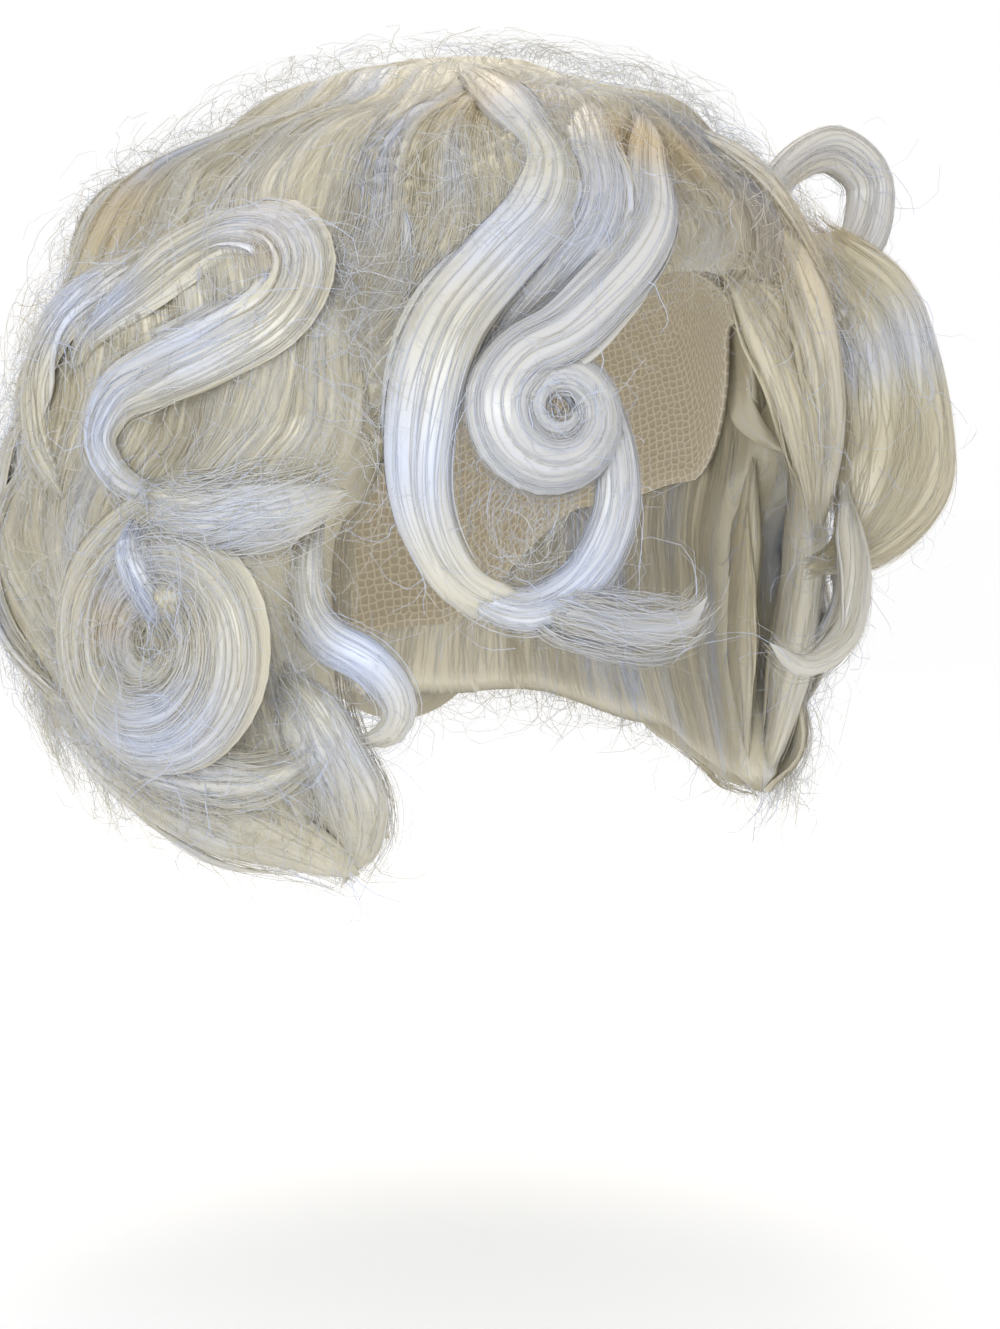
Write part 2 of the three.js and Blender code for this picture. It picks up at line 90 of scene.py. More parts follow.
def wrapTurn(bearing):
    return (np.asarray(bearing, float) + 180) % 360 - 180


def wander(rng, count, sections, cycles, parts=3):  # smooth noise along each strand, about -1 to 1
    s = np.linspace(0, 1, sections)
    total = np.zeros((count, sections))
    for i in range(parts):
        rate = rng.uniform(0.4, 1.0, (count, 1)) * cycles * (i + 1)
        total += np.sin(2 * np.pi * (rate * s + rng.random((count, 1)))) / (i + 1)
    return total / 1.6


# the hair's body: the same outer form and hems as the solids

hairForm = {
    "crownHair": 19,
    "domePower": 2.1,
    "lobeDepth": 3.5,
    "lobesRound": 9,
    "lobeHeight": 62,
    "ripple": 1.8,  # waves pressed into the hair, and their spacing down the surface
    "rippleStep": 58,
    "frontEdge": 58,
    "frontHem": 100,
    "sideBackEdge": 128,
    "crownArc": 74,
    "parting": 6,
    "hemWall": 13,
    # bearing, widest reach, its level, hem reach, hem drop
    "front": [(0, 93, 42, 90, 52), (30, 101, 50, 96, 60), (45, 106, 70, 100, 82), (58, 112, 86, 106, 100)],
    "side": [
        (58, 114, 96, 97, 206),
        (77, 126, 104, 104, 204),
        (100, 132, 106, 112, 190),
        (128, 135, 104, 118, 181),
        (155, 136, 104, 116, 181),
        (180, 138, 104, 114, 184),
    ],
    "retreat": 9,  # degrees that the front edge of the sides draws back, between these drops
    "retreatFrom": 88,
    "retreatFull": 125,
    "returnFrom": 155,
    "retreatTo": 205,
}

capForm = {
    "halfBreadth": 76,
    "halfLength": 97,
    "crownHeight": 105,
    "wall": 1.6,
    "seat": 1.5,
    "edge": [(0, 46), (40, 58), (72, 104), (105, 112), (145, 152), (180, 160)],  # bearing, drop
    "columns": 144,
    "rows": 40,
}

turnSteps, arcSamples = 60, 160  # grid of each surface


def fromTable(rows, turn, column):
    rows = np.asarray(rows, float)
    turn = np.abs(np.asarray(turn, float))
    i = np.clip(np.searchsorted(rows[:, 0], turn), 1, len(rows) - 1)
    share = ease((turn - rows[i - 1, 0]) / (rows[i, 0] - rows[i - 1, 0]), 0, 1)
    return rows[i - 1, column] + (rows[i, column] - rows[i - 1, column]) * share


def hollowReach(bearing, drop, grow):
    c = capForm
    turn = np.radians(bearing)
    level = (c["crownHeight"] - drop) / (c["crownHeight"] + grow)
    share = np.sqrt(np.maximum(0, 1 - level**2))
    return share / np.hypot(np.sin(turn) / (c["halfBreadth"] + grow), np.cos(turn) / (c["halfLength"] + grow))


def outerProfile(turn, form):  # a dome down to the widest level, then in to the hem
    widest, level, hem, hemDrop = [fromTable(form, turn, i) for i in (1, 2, 3, 4)]
    bend = np.linspace(0, np.pi / 2, 60)
    power = 2 / hairForm["domePower"]
    reach = widest * np.sin(bend) ** power
    drop = level - (level + hairForm["crownHair"]) * np.maximum(np.cos(bend), 0) ** power
    share = np.linspace(0, 1, 24)[1:]
    reach = np.concatenate([reach, widest - (widest - hem) * share**2])
    drop = np.concatenate([drop, level + (hemDrop - level) * share])
    return reach, drop


def innerProfile(turn, form):  # along the cap to its edge, then straight on to the hem
    c = capForm
    edge = fromTable(c["edge"], turn, 1)
    hem, hemDrop = fromTable(form, turn, 3), fromTable(form, turn, 4)
    grow = c["wall"] + c["seat"]
    lowest = (c["crownHeight"] - min(edge, hemDrop)) / (c["crownHeight"] + grow)
    bend = np.linspace(0, math.acos(lowest), 50)
    drop = c["crownHeight"] - (c["crownHeight"] + grow) * np.cos(bend)
    reach = hollowReach(turn, drop, grow)
    if hemDrop > edge + 1:
        share = np.linspace(0, 1, 24)[1:]
        hemReach = max(reach[-1], hem - hairForm["hemWall"])
        reach = np.concatenate([reach, reach[-1] + (hemReach - reach[-1]) * share])
        drop = np.concatenate([drop, edge + (hemDrop - edge) * share])
    return reach, drop


def surfaceOf(profile, form, low, high):  # reach and drop on an even grid of turn and share of arc
    grid = {"reach": [], "drop": [], "length": []}
    for turn in np.linspace(low, high, turnSteps + 1):
        reach, drop = profile(turn, form)
        arc = np.concatenate([[0], np.cumsum(np.hypot(np.diff(reach), np.diff(drop)))])
        even = np.linspace(0, arc[-1], arcSamples)
        grid["reach"].append(np.interp(even, arc, reach))
        grid["drop"].append(np.interp(even, arc, drop))
        grid["length"].append(arc[-1])
    return {"low": low, "high": high, **{key: np.array(values) for key, values in grid.items()}}


surfaces = {}
for side, low, high in (("front", 0, hairForm["frontEdge"]), ("side", hairForm["frontEdge"], 180)):
    surfaces[side + "Outer"] = surfaceOf(outerProfile, hairForm[side], low, high)
    surfaces[side + "Inner"] = surfaceOf(innerProfile, hairForm[side], low, high)


def readGrid(grid, i, j):
    i0, j0 = np.floor(i).astype(int), np.floor(j).astype(int)
    i1, j1 = np.minimum(i0 + 1, grid.shape[0] - 1), np.minimum(j0 + 1, grid.shape[1] - 1)
    fi, fj = i - i0, j - j0
    top = grid[i0, j0] * (1 - fj) + grid[i0, j1] * fj
    low = grid[i1, j0] * (1 - fj) + grid[i1, j1] * fj
    return top * (1 - fi) + low * fi


def gridTurn(name, bearing):  # where a bearing falls in a surface's grid
    low, high = surfaces[name]["low"], surfaces[name]["high"]
    return (np.clip(np.abs(wrapTurn(bearing)), low, high) - low) / (high - low) * turnSteps


def arcLength(name, bearing):
    return np.interp(gridTurn(name, bearing), np.arange(turnSteps + 1), surfaces[name]["length"])


def arcAtDrop(name, bearing, drop):
    s = surfaces[name]
    i = int(round(float(gridTurn(name, bearing))))
    return np.interp(drop, s["drop"][i], np.linspace(0, s["length"][i], arcSamples))


def readSurface(name, bearing, arc):  # reach and drop, and how both change down the surface
    s, last = surfaces[name], arcSamples - 1
    i = gridTurn(name, bearing)
    j = np.clip(arc / arcLength(name, bearing), 0, 1) * last
    above, below = np.clip(j - 2, 0, last), np.clip(j + 2, 0, last)
    place = [readGrid(s[key], i, j) for key in ("reach", "drop")]
    return place + [readGrid(s[key], i, below) - readGrid(s[key], i, above) for key in ("reach", "drop")]


def retreat(bearing, drop):
    f = hairForm
    fade = 1 - (np.abs(bearing) - f["frontEdge"]) / (f["sideBackEdge"] - f["frontEdge"])
    down = ease(drop, f["retreatFrom"], f["retreatFull"])
    back = 1 - ease(drop, f["returnFrom"], f["retreatTo"])
    return np.sign(bearing) * f["retreat"] * np.clip(fade, 0, 1) * down * back


def onSurface(name, bearing, arc, lift=0):  # a point and its outward normal, arc mm down from the crown
    f = hairForm
    bearing = wrapTurn(bearing)
    place = readSurface(name, bearing, arc)
    if name == "sideOuter":  # towards the front the crown runs over into the front form
        share = ease(arc, 25, 72) * ease(f["frontEdge"] - np.abs(bearing), 0, 14)
        place = [a + share * (b - a) for a, b in zip(place, readSurface("frontOuter", bearing, arc))]
    reach, drop, outward, down = place
    size = np.maximum(np.hypot(outward, down), 1e-6)
    turn = np.radians(bearing)
    out = np.stack([np.sin(turn) * down / size, -np.cos(turn) * down / size, outward / size], -1)
    if name.endswith("Outer"):
        lobe = np.sin(turn * f["lobesRound"] + drop / f["lobeHeight"]) * np.sin(np.pi * drop / f["lobeHeight"])
        ripple = f["ripple"] * np.sin(2 * np.pi * arc / f["rippleStep"] + 2 * turn) * ease(arc, 25, 60)
        reach = reach + f["lobeDepth"] * lobe * ease(reach, 5, 40)
        lift = np.asarray(lift) + ripple
    else:
        out = -out
    if name.startswith("side"):
        bearing = bearing + retreat(bearing, drop)
    return at(bearing, drop, reach) + out * np.asarray(lift)[..., None], out


def bodyPlace(bearing, drop, lift=0):  # a point on the hair's outer form, and its normal
    front = abs(wrapTurn(bearing)) <= hairForm["frontEdge"] and drop <= hairForm["frontHem"]
    name = "frontOuter" if front else "sideOuter"
    rooted = bearing if front else bearing - retreat(bearing, drop)
    return onSurface(name, rooted, arcAtDrop(name, rooted, drop), lift)


def bodyUnder(path):  # the body below each point of a path, and its normals
    turns = np.degrees(np.arctan2(path[:, 0], -path[:, 1]))
    places = [bodyPlace(turn, -z) for turn, z in zip(turns, path[:, 2])]
    return np.array([p[0] for p in places]), np.array([p[1] for p in places])


# paths of the locks


def smoothPath(points, count):  # centripetal curve through the points, evenly spaced by length
    p = np.asarray(points, float)
    p = np.vstack([2 * p[0] - p[1], p, 2 * p[-1] - p[-2]])
    fine = []
    for i in range(1, len(p) - 2):
        p0, p1, p2, p3 = near = p[i - 1 : i + 3]
        t0, t1, t2, t3 = np.concatenate([[0], np.cumsum(np.linalg.norm(np.diff(near, axis=0), axis=1) ** 0.5)])
        t = np.linspace(t1, t2, 24, endpoint=i == len(p) - 3)[:, None]
        mix = lambda a, b, ta, tb: (tb - t) / (tb - ta) * a + (t - ta) / (tb - ta) * b
        a1, a2, a3 = mix(p0, p1, t0, t1), mix(p1, p2, t1, t2), mix(p2, p3, t2, t3)
        fine.append(mix(mix(a1, a2, t0, t2), mix(a2, a3, t1, t3), t1, t2))
    fine = np.vstack(fine)
    arc = np.concatenate([[0], np.cumsum(np.linalg.norm(np.diff(fine, axis=0), axis=1))])
    even = np.linspace(0, arc[-1], count)
    return np.stack([np.interp(even, arc, fine[:, k]) for k in range(3)], -1), arc[-1]


def curlPoints(last, before, radius, turns, hand, close, lift):
    along = unit(last - before)
    outward = unit(np.array([last[0], last[1], 0]))
    side = unit(np.cross(outward, along) * hand)
    axis = np.cross(along, side) * hand
    steps = math.ceil(turns * 8)
    share = (np.arange(steps) + 1) / steps
    angle = 2 * np.pi * turns * share
    reach = radius * (1 - close * share)
    round_ = np.outer(-reach * np.cos(angle), side) + np.outer(reach * np.sin(angle), along)
    return last + side * radius + round_ + np.outer(lift * share, axis)


def lockPath(row, spacing=3.4):  # points along a lock, with the ways across it and out of it
    if row.get("onBody"):  # the third number is then the height over the body
        points = np.array([bodyPlace(*place)[0] for place in row["via"]])
    else:
        points = np.array([at(*place) for place in row["via"]])
    if "curl" in row:
        points = np.vstack([points, curlPoints(points[-1], points[-2], **row["curl"])])
    length = smoothPath(points, 8)[1]
    path = smoothPath(points, int(np.clip(length / spacing, 14, 64)))[0]
    along = unit(np.gradient(path, axis=0))
    first = unit(np.array([path[0, 0], path[0, 1], max(0, path[0, 2])]))
    across = unit(np.cross(along[0], first))
    wide = np.zeros_like(path)
    for i in range(len(path)):
        across = unit(across - along[i] * np.dot(across, along[i]))
        wide[i] = across
    deep = np.cross(along, wide)
    if row.get("ridge"):  # lies flat on the body
        wide = unit(np.cross(along, bodyUnder(path)[1]))
        deep = np.cross(wide, along)
    share = np.linspace(0, 1, len(path))
    first, last = row.get("roll", (0, 0))
    turn = np.radians(first + (last - first) * share)[:, None]
    c, s = np.cos(turn), np.sin(turn)
    return path, wide * c + deep * s, deep * c - wide * s, share


def fullness(share, root, tip):
    fromRoot = root + (1 - root) * ease(share, 0, 0.3)
    return fromRoot * (1 + (tip - 1) * ease(share, 0.6, 1))


def lockSize(row, share):  # half the width and half the thickness along a lock
    full = fullness(share, row["root"], row["tip"])
    for place, size, spread in row.get("pinch", ()):
        full = full * (1 - (1 - size) * np.exp(-(((share - place) / spread) ** 2)))
    return row["width"] / 2 * full, row["thick"] / 2 * full


# meshes: thin ribbons whose edge normals turn aside, so that each one takes the light as a round fibre, and sheets


def newMeshData():
    return {"points": [], "normals": [], "quads": [], "tone": [], "gold": [], "flow": [], "kind": [], "count": 0}


def addQuads(data, points, normals, quads, tone, gold, flow, kind):
    data["quads"].append(quads + data["count"])
    data["points"].append(points.reshape(-1, 3))
    data["normals"].append(normals.reshape(-1, 3))
    data["tone"].append(tone.reshape(-1))
    data["gold"].append(gold.reshape(-1))
    data["flow"].append(flow.reshape(-1, 2))
    data["kind"].append(np.full(len(quads), kind))
    data["count"] += len(data["points"][-1])


def addRibbons(data, path, outward, width, tone, gold, edgeTurn=1.0):
    count, sections, _ = path.shape
    along = unit(np.gradient(path, axis=1))
    side = unit(np.cross(along, outward))
    outward = np.cross(side, along)
    half = 0.5 * width[..., None]
    points = np.stack([path - side * half, path + side * half], 2)
    c, s = math.cos(edgeTurn), math.sin(edgeTurn)
    normals = np.stack([outward * c - side * s, outward * c + side * s], 2)
    k = np.arange(count)[:, None] * sections * 2
    m = np.arange(sections - 1)[None, :] * 2
    first = (k + m).ravel()
    quads = np.stack([first, first + 1, first + 3, first + 2], -1)
    along01 = np.broadcast_to(np.linspace(0, 1, sections), (count, sections))
    across01 = np.broadcast_to(np.arange(count)[:, None] / count, (count, sections))
    flow = np.repeat(np.stack([across01, along01], -1).reshape(-1, 2), 2, axis=0)
    twice = lambda values: np.repeat(np.broadcast_to(values, (count, sections)).reshape(-1), 2)
    addQuads(data, points, normals, quads, twice(tone), twice(gold), flow[quads], 1)


def addSheet(data, points, ring, outward, tone, gold=0.0):  # points[column][row], closed round its columns or not
    columns, rows, _ = points.shape
    du = np.roll(points, -1, 0) - np.roll(points, 1, 0) if ring else np.gradient(points, axis=0)
    if not ring:  # the first and last columns are end walls and take no part in the shading beside them
        du[1], du[-2] = points[2] - points[1], points[-2] - points[-3]
    normals = unit(np.cross(du, np.gradient(points, axis=1)))
    i = np.arange(columns if ring else columns - 1)[:, None]
    j = np.arange(rows - 1)[None, :]
    corner = lambda di, dj: ((i + di) % columns) * rows + j + dj
    quads = np.stack([corner(0, 0), corner(1, 0), corner(1, 1), corner(0, 1)], -1).reshape(-1, 4)
    # flow in units of 100 mm: across the sheet, then along it
    across = np.linalg.norm(np.diff(points, axis=0, append=points[:1]), axis=-1).mean(1)
    u = np.concatenate([[0], np.cumsum(across)]) / 100
    v = np.concatenate([[0], np.cumsum(np.linalg.norm(np.diff(points, axis=1), axis=-1).mean(0))]) / 100
    shift = 0.37 * len(data["points"])
    pick = lambda di, dj: np.stack(np.broadcast_arrays(u[i + di] + shift, v[j + dj] + shift), -1)
    flow = np.stack([pick(0, 0), pick(1, 0), pick(1, 1), pick(0, 1)], -2).reshape(-1, 4, 2)
    if np.sum(normals * outward) < 0:
        normals, quads, flow = -normals, quads[:, ::-1], flow[:, ::-1]
    even = np.ones((columns, rows))
    addQuads(data, points, normals, quads, even * tone, even * gold, flow, 0)


# painted warm highlights: golden glints painted into the gold tone where the roots turn over: bearing, drop, reach,
# size in mm, strength
paintedWarmGlints = [
    (-40, 2, 72, 15, 0.5), (-14, 12, 89, 12, 0.8), (0, 13, 86, 11, 0.5), (-109, 29, 109, 14, 0.5),
    (-70, 45, 117, 8, 0.6), (-123, 55, 128, 16, 0.6), (44, 26, 104, 11, 0.7), (-126, 140, 132, 9, 0.5),
    (-88, 142, 134, 7, 0.6), (150, 20, 104, 18, 0.4), (90, 26, 108, 16, 0.4), (12, 34, 96, 16, 0.35),
    (28, 46, 101, 16, 0.35),
]


def paintedWarmGlint(points):
    total = np.zeros(len(points))
    for bearing, drop, reach, size, strength in paintedWarmGlints:
        away = np.linalg.norm(points - at(bearing, drop, reach), axis=1)
        total += strength * np.exp(-((away / size) ** 2))
    return total


def makePiece(name, data, materials, node=None):
    points = np.concatenate(data["points"])
    quads = np.concatenate(data["quads"])
    mesh = bpy.data.meshes.new(name)
    mesh.vertices.add(len(points))
    mesh.vertices.foreach_set("co", (points * mm).astype(np.float32).ravel())
    mesh.loops.add(len(quads) * 4)
    mesh.loops.foreach_set("vertex_index", quads.astype(np.int32).ravel())
    mesh.polygons.add(len(quads))
    mesh.polygons.foreach_set("loop_start", np.arange(0, len(quads) * 4, 4, dtype=np.int32))
    mesh.polygons.foreach_set("material_index", np.concatenate(data["kind"]).astype(np.int32))
    # the gold tone also takes the painted warm glints, beside each strand's own gold
    gold = np.clip(np.concatenate(data["gold"]) + paintedWarmGlint(points), 0, 0.8)
    for key, values in (("tone", np.concatenate(data["tone"])), ("gold", gold)):
        layer = mesh.attributes.new(key, "FLOAT", "POINT")
        layer.data.foreach_set("value", values.astype(np.float32))
    uv = mesh.uv_layers.new(name="flow")
    uv.data.foreach_set("uv", np.concatenate(data["flow"]).astype(np.float32).ravel())
    mesh.update(calc_edges=True)
    mesh.shade_smooth()
    mesh.normals_split_custom_set_from_vertices(unit(np.concatenate(data["normals"])))
    for material in materials:
        mesh.materials.append(material)
    piece = bpy.data.objects.new(name, mesh)
    bpy.context.scene.collection.objects.link(piece)
    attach(piece, "root")
    if node:
        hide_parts(node)
    print(f"{name}: {2 * len(quads)} triangles")


# locks: a closed core, strands over its skin, and thin tresses that run along it

lockLook = {  # what a lock has where its own row says nothing else
    "root": 0.7,  # share of its full size at the ends
    "tip": 0.4,
    "core": 0.96,
    "tone": 0.6,
    "density": 2.2,  # strands for each mm round it
    "fibre": 0.26,  # mm
    "depth": 0.1,
    "twist": 0.5,
    "strays": 0.2,  # share of the strands that leave it, and how far in mm
    "strayReach": 4.0,
    "loose": 0.25,
    "uneven": 0.16,
    "wisps": 3,
}
lyingLook = {
    "edge": 1.7,  # power that thins a lying lock to its edges
    "droop": 2.4,  # mm that these edges hang down to the body
    "rimTone": 0.4,  # they take the body's tone
}
wispLook = {
    "start": (0, 0.4),  # shares of the lock's length
    "end": (0.7, 1),
    "shortest": 16,  # sections
    "side": (0.35, 0.95),
    "sway": 0.22,
    "apart": (0, 3),
    "size": (0.06, 0.13),  # share of the lock's width, up to the widest in mm
    "widest": 18,
    "flat": 0.45,
    "tone": (-0.16, 0.05),
    "strands": 9,
}
wispStrands = {**lockLook, "strays": 0.5, "strayReach": 3, "uneven": 0.4, "loose": 0.4}


def droop(edge):
    return lyingLook["droop"] if edge > 1 else 0


def rimmed(tone, angle, edge):
    rim = lyingLook["rimTone"]
    return rim + (tone - rim) * np.abs(np.sin(angle)) ** 1.1 if edge > 1 else tone


def toneAlong(look, share):  # painted highlights, brighter stretches along the lock: share of the length, spread, gain
    tone = np.full(len(share), look["tone"])
    for place, spread, gain in look.get("paintedShine", ()):
        tone = tone + gain * np.exp(-(((share - place) / spread) ** 2))
    return tone


def addStrandSkin(data, form, count, look, rng):  # strands over the skin of a lock, with a few that stray from it
    path, wide, deep, halfWide, halfThick = form
    sections, edge = len(path), look.get("edge", 1)
    share = np.linspace(0, 1, sections)[None]
    if edge > 1:
        start = np.pi * rng.uniform(0.1, 0.9, (count, 1))
    else:
        start = 2 * np.pi * rng.random((count, 1))
    depth = 1.02 - look["depth"] * rng.random((count, 1)) ** 1.5 + 0.02 * rng.standard_normal((count, 1))
    angle = start + look["twist"] * (share - 0.3) + 0.16 * wander(rng, count, sections, 1.6)
    radius = depth * (1 + 0.03 * wander(rng, count, sections, 2.0))
    stray = (rng.random((count, 1)) < look["strays"]) * rng.uniform(1.0, look["strayReach"], (count, 1))
    astray = stray * ease(share, 0.25, 1.0)
    c, s = np.cos(angle), np.sin(angle)
    x = c * (halfWide * radius + astray)
    y = s * (halfThick * radius * np.abs(s) ** (edge - 1) + astray) - droop(edge) * c**2
    shake = np.stack([wander(rng, count, sections, 2.2) for _ in range(3)], -1) * look["loose"]
    points = path + x[..., None] * wide + y[..., None] * deep + shake
    out = (c / np.maximum(halfWide * edge, 1))[..., None] * wide
    out = unit(out + (s / np.maximum(halfThick, 1))[..., None] * deep)
    # each strand starts and ends a little apart from the others
    first = rng.uniform(0, 0.05, (count, 1))
    last = 1 - rng.random((count, 1)) ** 2 * look["uneven"]
    where = (first + (last - first) * share) * (sections - 1)
    low = np.minimum(np.floor(where).astype(int), sections - 2)
    part = (where - low)[..., None]
    k = np.arange(count)[:, None]
    points = points[k, low] * (1 - part) + points[k, low + 1] * part
    out = unit(out[k, low] * (1 - part) + out[k, low + 1] * part)
    taper = 0.45 + 0.55 * ease(share, 0, 0.1) * (1 - ease(share, 0.7, 1.02))
    width = look["fibre"] * rng.uniform(0.6, 1.25, (count, 1)) * taper
    # strands that lie deeper in the lock are painted darker, a painted shade inside it
    tone = toneAlong(look, share[0]) + 0.08 * rng.standard_normal((count, 1)) - 0.2 * (1 - depth)
    tone = rimmed(tone + 0.05 * wander(rng, count, sections, 1.5), angle, edge)
    gold = np.clip(look.get("gold", 0.06) * rng.uniform(0.2, 1.8, (count, 1)) * (1 - 0.6 * share), 0, 1)
    addRibbons(data, points, out, width, np.clip(tone, 0, 1), gold)


def addCore(data, form, look, tone, rng, sides=24, groove=0.05):  # closed inner body, grooved along its length
    path, wide, deep, halfWide, halfThick = form
    edge = look.get("edge", 1)
    angle = np.linspace(0, 2 * np.pi, sides, endpoint=False)[:, None]
    share = np.linspace(0, 1, len(path))[None]
    waves = 0
    for k in (2, 3, 5, 8):
        if k < sides / 2.6:
            waves = waves + np.cos(k * angle + rng.uniform(0, 6.28) + rng.uniform(-3, 3) * share) / k**0.4
    closing = [0.02, 0.55, 0.85]
    size = np.array(closing + [1.0] * (len(path) - 6) + closing[::-1]) * (1 + groove * waves)
    c, s = np.cos(angle), np.sin(angle)
    x = c * halfWide * size
    y = s * np.abs(s) ** (edge - 1) * halfThick * size - droop(edge) * c**2
    points = path + x[..., None] * wide + y[..., None] * deep
    tone = rimmed(tone + 0 * angle, angle, edge)
    addSheet(data, points, True, points - path, tone, look.get("gold", 0.05))


def addWisp(data, row, form, rng):  # a thin tress that runs along a lock
    w, sections = wispLook, len(form[0])
    first, last = int(sections * rng.uniform(*w["start"])), int(sections * rng.uniform(*w["end"]))
    if last - first < w["shortest"]:
        return
    path, wide, deep, halfWide, halfThick = [values[first:last] for values in form]
    share = np.linspace(0, 1, last - first)
    side = rng.choice([-1, 1]) * rng.uniform(*w["side"])
    sway = side + w["sway"] * np.sin(2 * np.pi * (share * rng.uniform(0.5, 1.2) + rng.random()))
    x = sway * halfWide + side * rng.uniform(*w["apart"]) * ease(share, 0.5, 1)
    flat = np.sqrt(np.clip(1 - sway**2, 0.02, 1)) ** row["edge"]
    y = flat * halfThick - droop(row["edge"]) * np.minimum(sway**2, 1) + 0.2
    line = path + wide * x[:, None] + deep * y[:, None]
    half = min(row["width"], w["widest"]) * rng.uniform(*w["size"]) * fullness(share, 0.15, 0.1)
    tone = toneAlong(row, np.linspace(0, 1, sections))[first:last] + rng.uniform(*w["tone"])
    thin = (line, wide, deep, half, half * w["flat"])
    addCore(data, thin, {"gold": row.get("gold", 0.05)}, tone, rng, sides=8, groove=0)
    addStrandSkin(data, thin, w["strands"], {**wispStrands, "tone": tone.mean()}, rng)


def addLock(data, row, rng):
    path, wide, deep, share = lockPath(row)
    halfWide, halfThick = lockSize(row, share)
    core = (path, wide, deep, halfWide * row["core"], halfThick * row["core"])
    addCore(data, core, row, toneAlong(row, share) - 0.04, rng)
    form = (path, wide, deep, halfWide, halfThick)
    around = math.pi * (row["width"] + row["thick"]) / 2
    addStrandSkin(data, form, int(around * row["density"]), row, rng)
    for _ in range(row["wisps"]):
        addWisp(data, row, form, rng)


# body hair, combed over the outer form

swellLook = {"highest": 14, "underLock": 0.93, "spread": 0.95}  # mm, shares of the lock's height and width
combLook = {
    "wave": 95,  # mm from crest to crest
    "swing": 7,
    "frontDrift": 0.5,  # mm aside for each mm down, away from the parting
    "edgeFade": 14,
    "bundles": [(8.0, 130, 1.3), (3.0, 100, 0.45), (1.2, 80, 0.14)],  # degrees across, mm along, mm high
    # strength of the painted cool sheen on some crests
    "sheen": 0.55,
}
bodyLook = {
    "lap": 8,  # mm that the crown and the other zones lie over each other
    "sink": 1.0,  # mm inside the outer form
    "columnStep": 1.25,
    "rowStep": 3.4,
    "crownTaper": 0.84,
    "hemInset": 5,
    "hemRound": 14,
    "frontRound": 8,  # degrees
    "tone": 0.32,
    "innerTone": 0.36,
    "gold": 0.05,
}
combedStrands = {  # fine strands laid over the body
    "sections": 11,
    "length": (50, 100),
    "even": 1,
    "cross": 2.0,
    "fluff": 0.4,
    "fibre": 0.2,
    "tone": 0.52,
    "gold": 0.04,
}
insideStrands = {**combedStrands, "arcs": (110, 400), "length": (40, 90), "tone": 0.5, "gold": 0.05}
combTable = np.random.default_rng(5).uniform(-1, 1, (97, 400))


def ridgeUnder(row):  # where a lock lies on the body, the body swells up under it
    path = lockPath(row, 6)[0]
    feet, normals = bodyUnder(path)
    height = np.clip(np.sum((path - feet) * normals, 1), 0, swellLook["highest"])
    show = 1 if row.get("bare") else swellLook["underLock"]
    return path - normals * height[:, None], height * show, row["width"] * swellLook["spread"]


def swell(points):
    flat = points.reshape(-1, 3)
    total = np.zeros(len(flat))
    for feet, height, spread in allRidges:
        margin = 2.2 * spread
        near = np.all((flat > feet.min(0) - margin) & (flat < feet.max(0) + margin), axis=1)
        away = ((flat[near][:, None] - feet) ** 2).sum(-1)
        foot = away.argmin(-1)
        least = away[np.arange(len(foot)), foot]
        total[near] = np.maximum(total[near], height[foot] * np.exp(-((least / spread**2) ** 1.5)))
    return total.reshape(*points.shape[:-1], 1)


def combNoise(turn, arc, across, along, layer):  # smooth noise drawn out along the hair, closed round the turn
    cells = round(360 / across)
    x, y = (turn % 360) / 360 * cells, arc / along + 11.3 * layer
    i, j = np.floor(x).astype(int), np.floor(y).astype(int)
    fx, fy = ease(x - i, 0, 1), ease(y - j, 0, 1)
    rows, columns = combTable.shape
    pick = lambda a, b: combTable[(j + b) % rows, ((i + a) % cells + 37 * layer) % columns]
    near = pick(0, 0) * (1 - fx) + pick(1, 0) * fx
    far = pick(0, 1) * (1 - fx) + pick(1, 1) * fx
    return near * (1 - fy) + far * fy


def bundleRelief(turn, arc):  # rounded bundles with narrow valleys between them
    turn = turn + 1.6 * combNoise(turn, arc, 12, 55, 4)
    total = 0
    for layer, (across, along, high) in enumerate(combLook["bundles"]):
        total = total + high * (2.2 * np.abs(combNoise(turn, arc, across, along, layer)) - 0.8)
    return total * ease(arc, 10, 70)


def bodyToneAndPaintedLight(turn, arc, relief):  # painted light and shade: paler crests and darker valleys after the relief, and a painted cool sheen on some crests, over a random streaky tone
    sheen = np.clip(combNoise(turn, arc, 6, 48, 6) - 0.12, 0, 1) * ease(arc, 15, 60)
    return 0.06 * relief + 0.1 * combNoise(turn, arc, 3, 70, 3) + combLook["sheen"] * sheen


def degreesPerMm(arc):
    return math.degrees(1) / (20 + 110 * np.sin(np.clip(arc / 165, 0, 1) * np.pi / 2))


def combed(turn, arc):  # the bearing at this arc of the hair that is rooted at this turn
    f, c = hairForm, combLook
    size = np.abs(wrapTurn(turn))
    fade = ease(np.abs(size - f["frontEdge"]), 0, c["edgeFade"])
    aside = c["swing"] * np.sin(2 * np.pi * arc / c["wave"] + 2 * np.radians(turn)) * ease(arc, 20, 60)
    apart = wrapTurn(turn) - f["parting"]
    drift = c["frontDrift"] * np.sign(apart) * ease(np.abs(apart), 0, 22) * np.maximum(arc - 45, 0)
    return turn + (aside + np.where(size < f["frontEdge"], drift, 0)) * fade * degreesPerMm(arc)


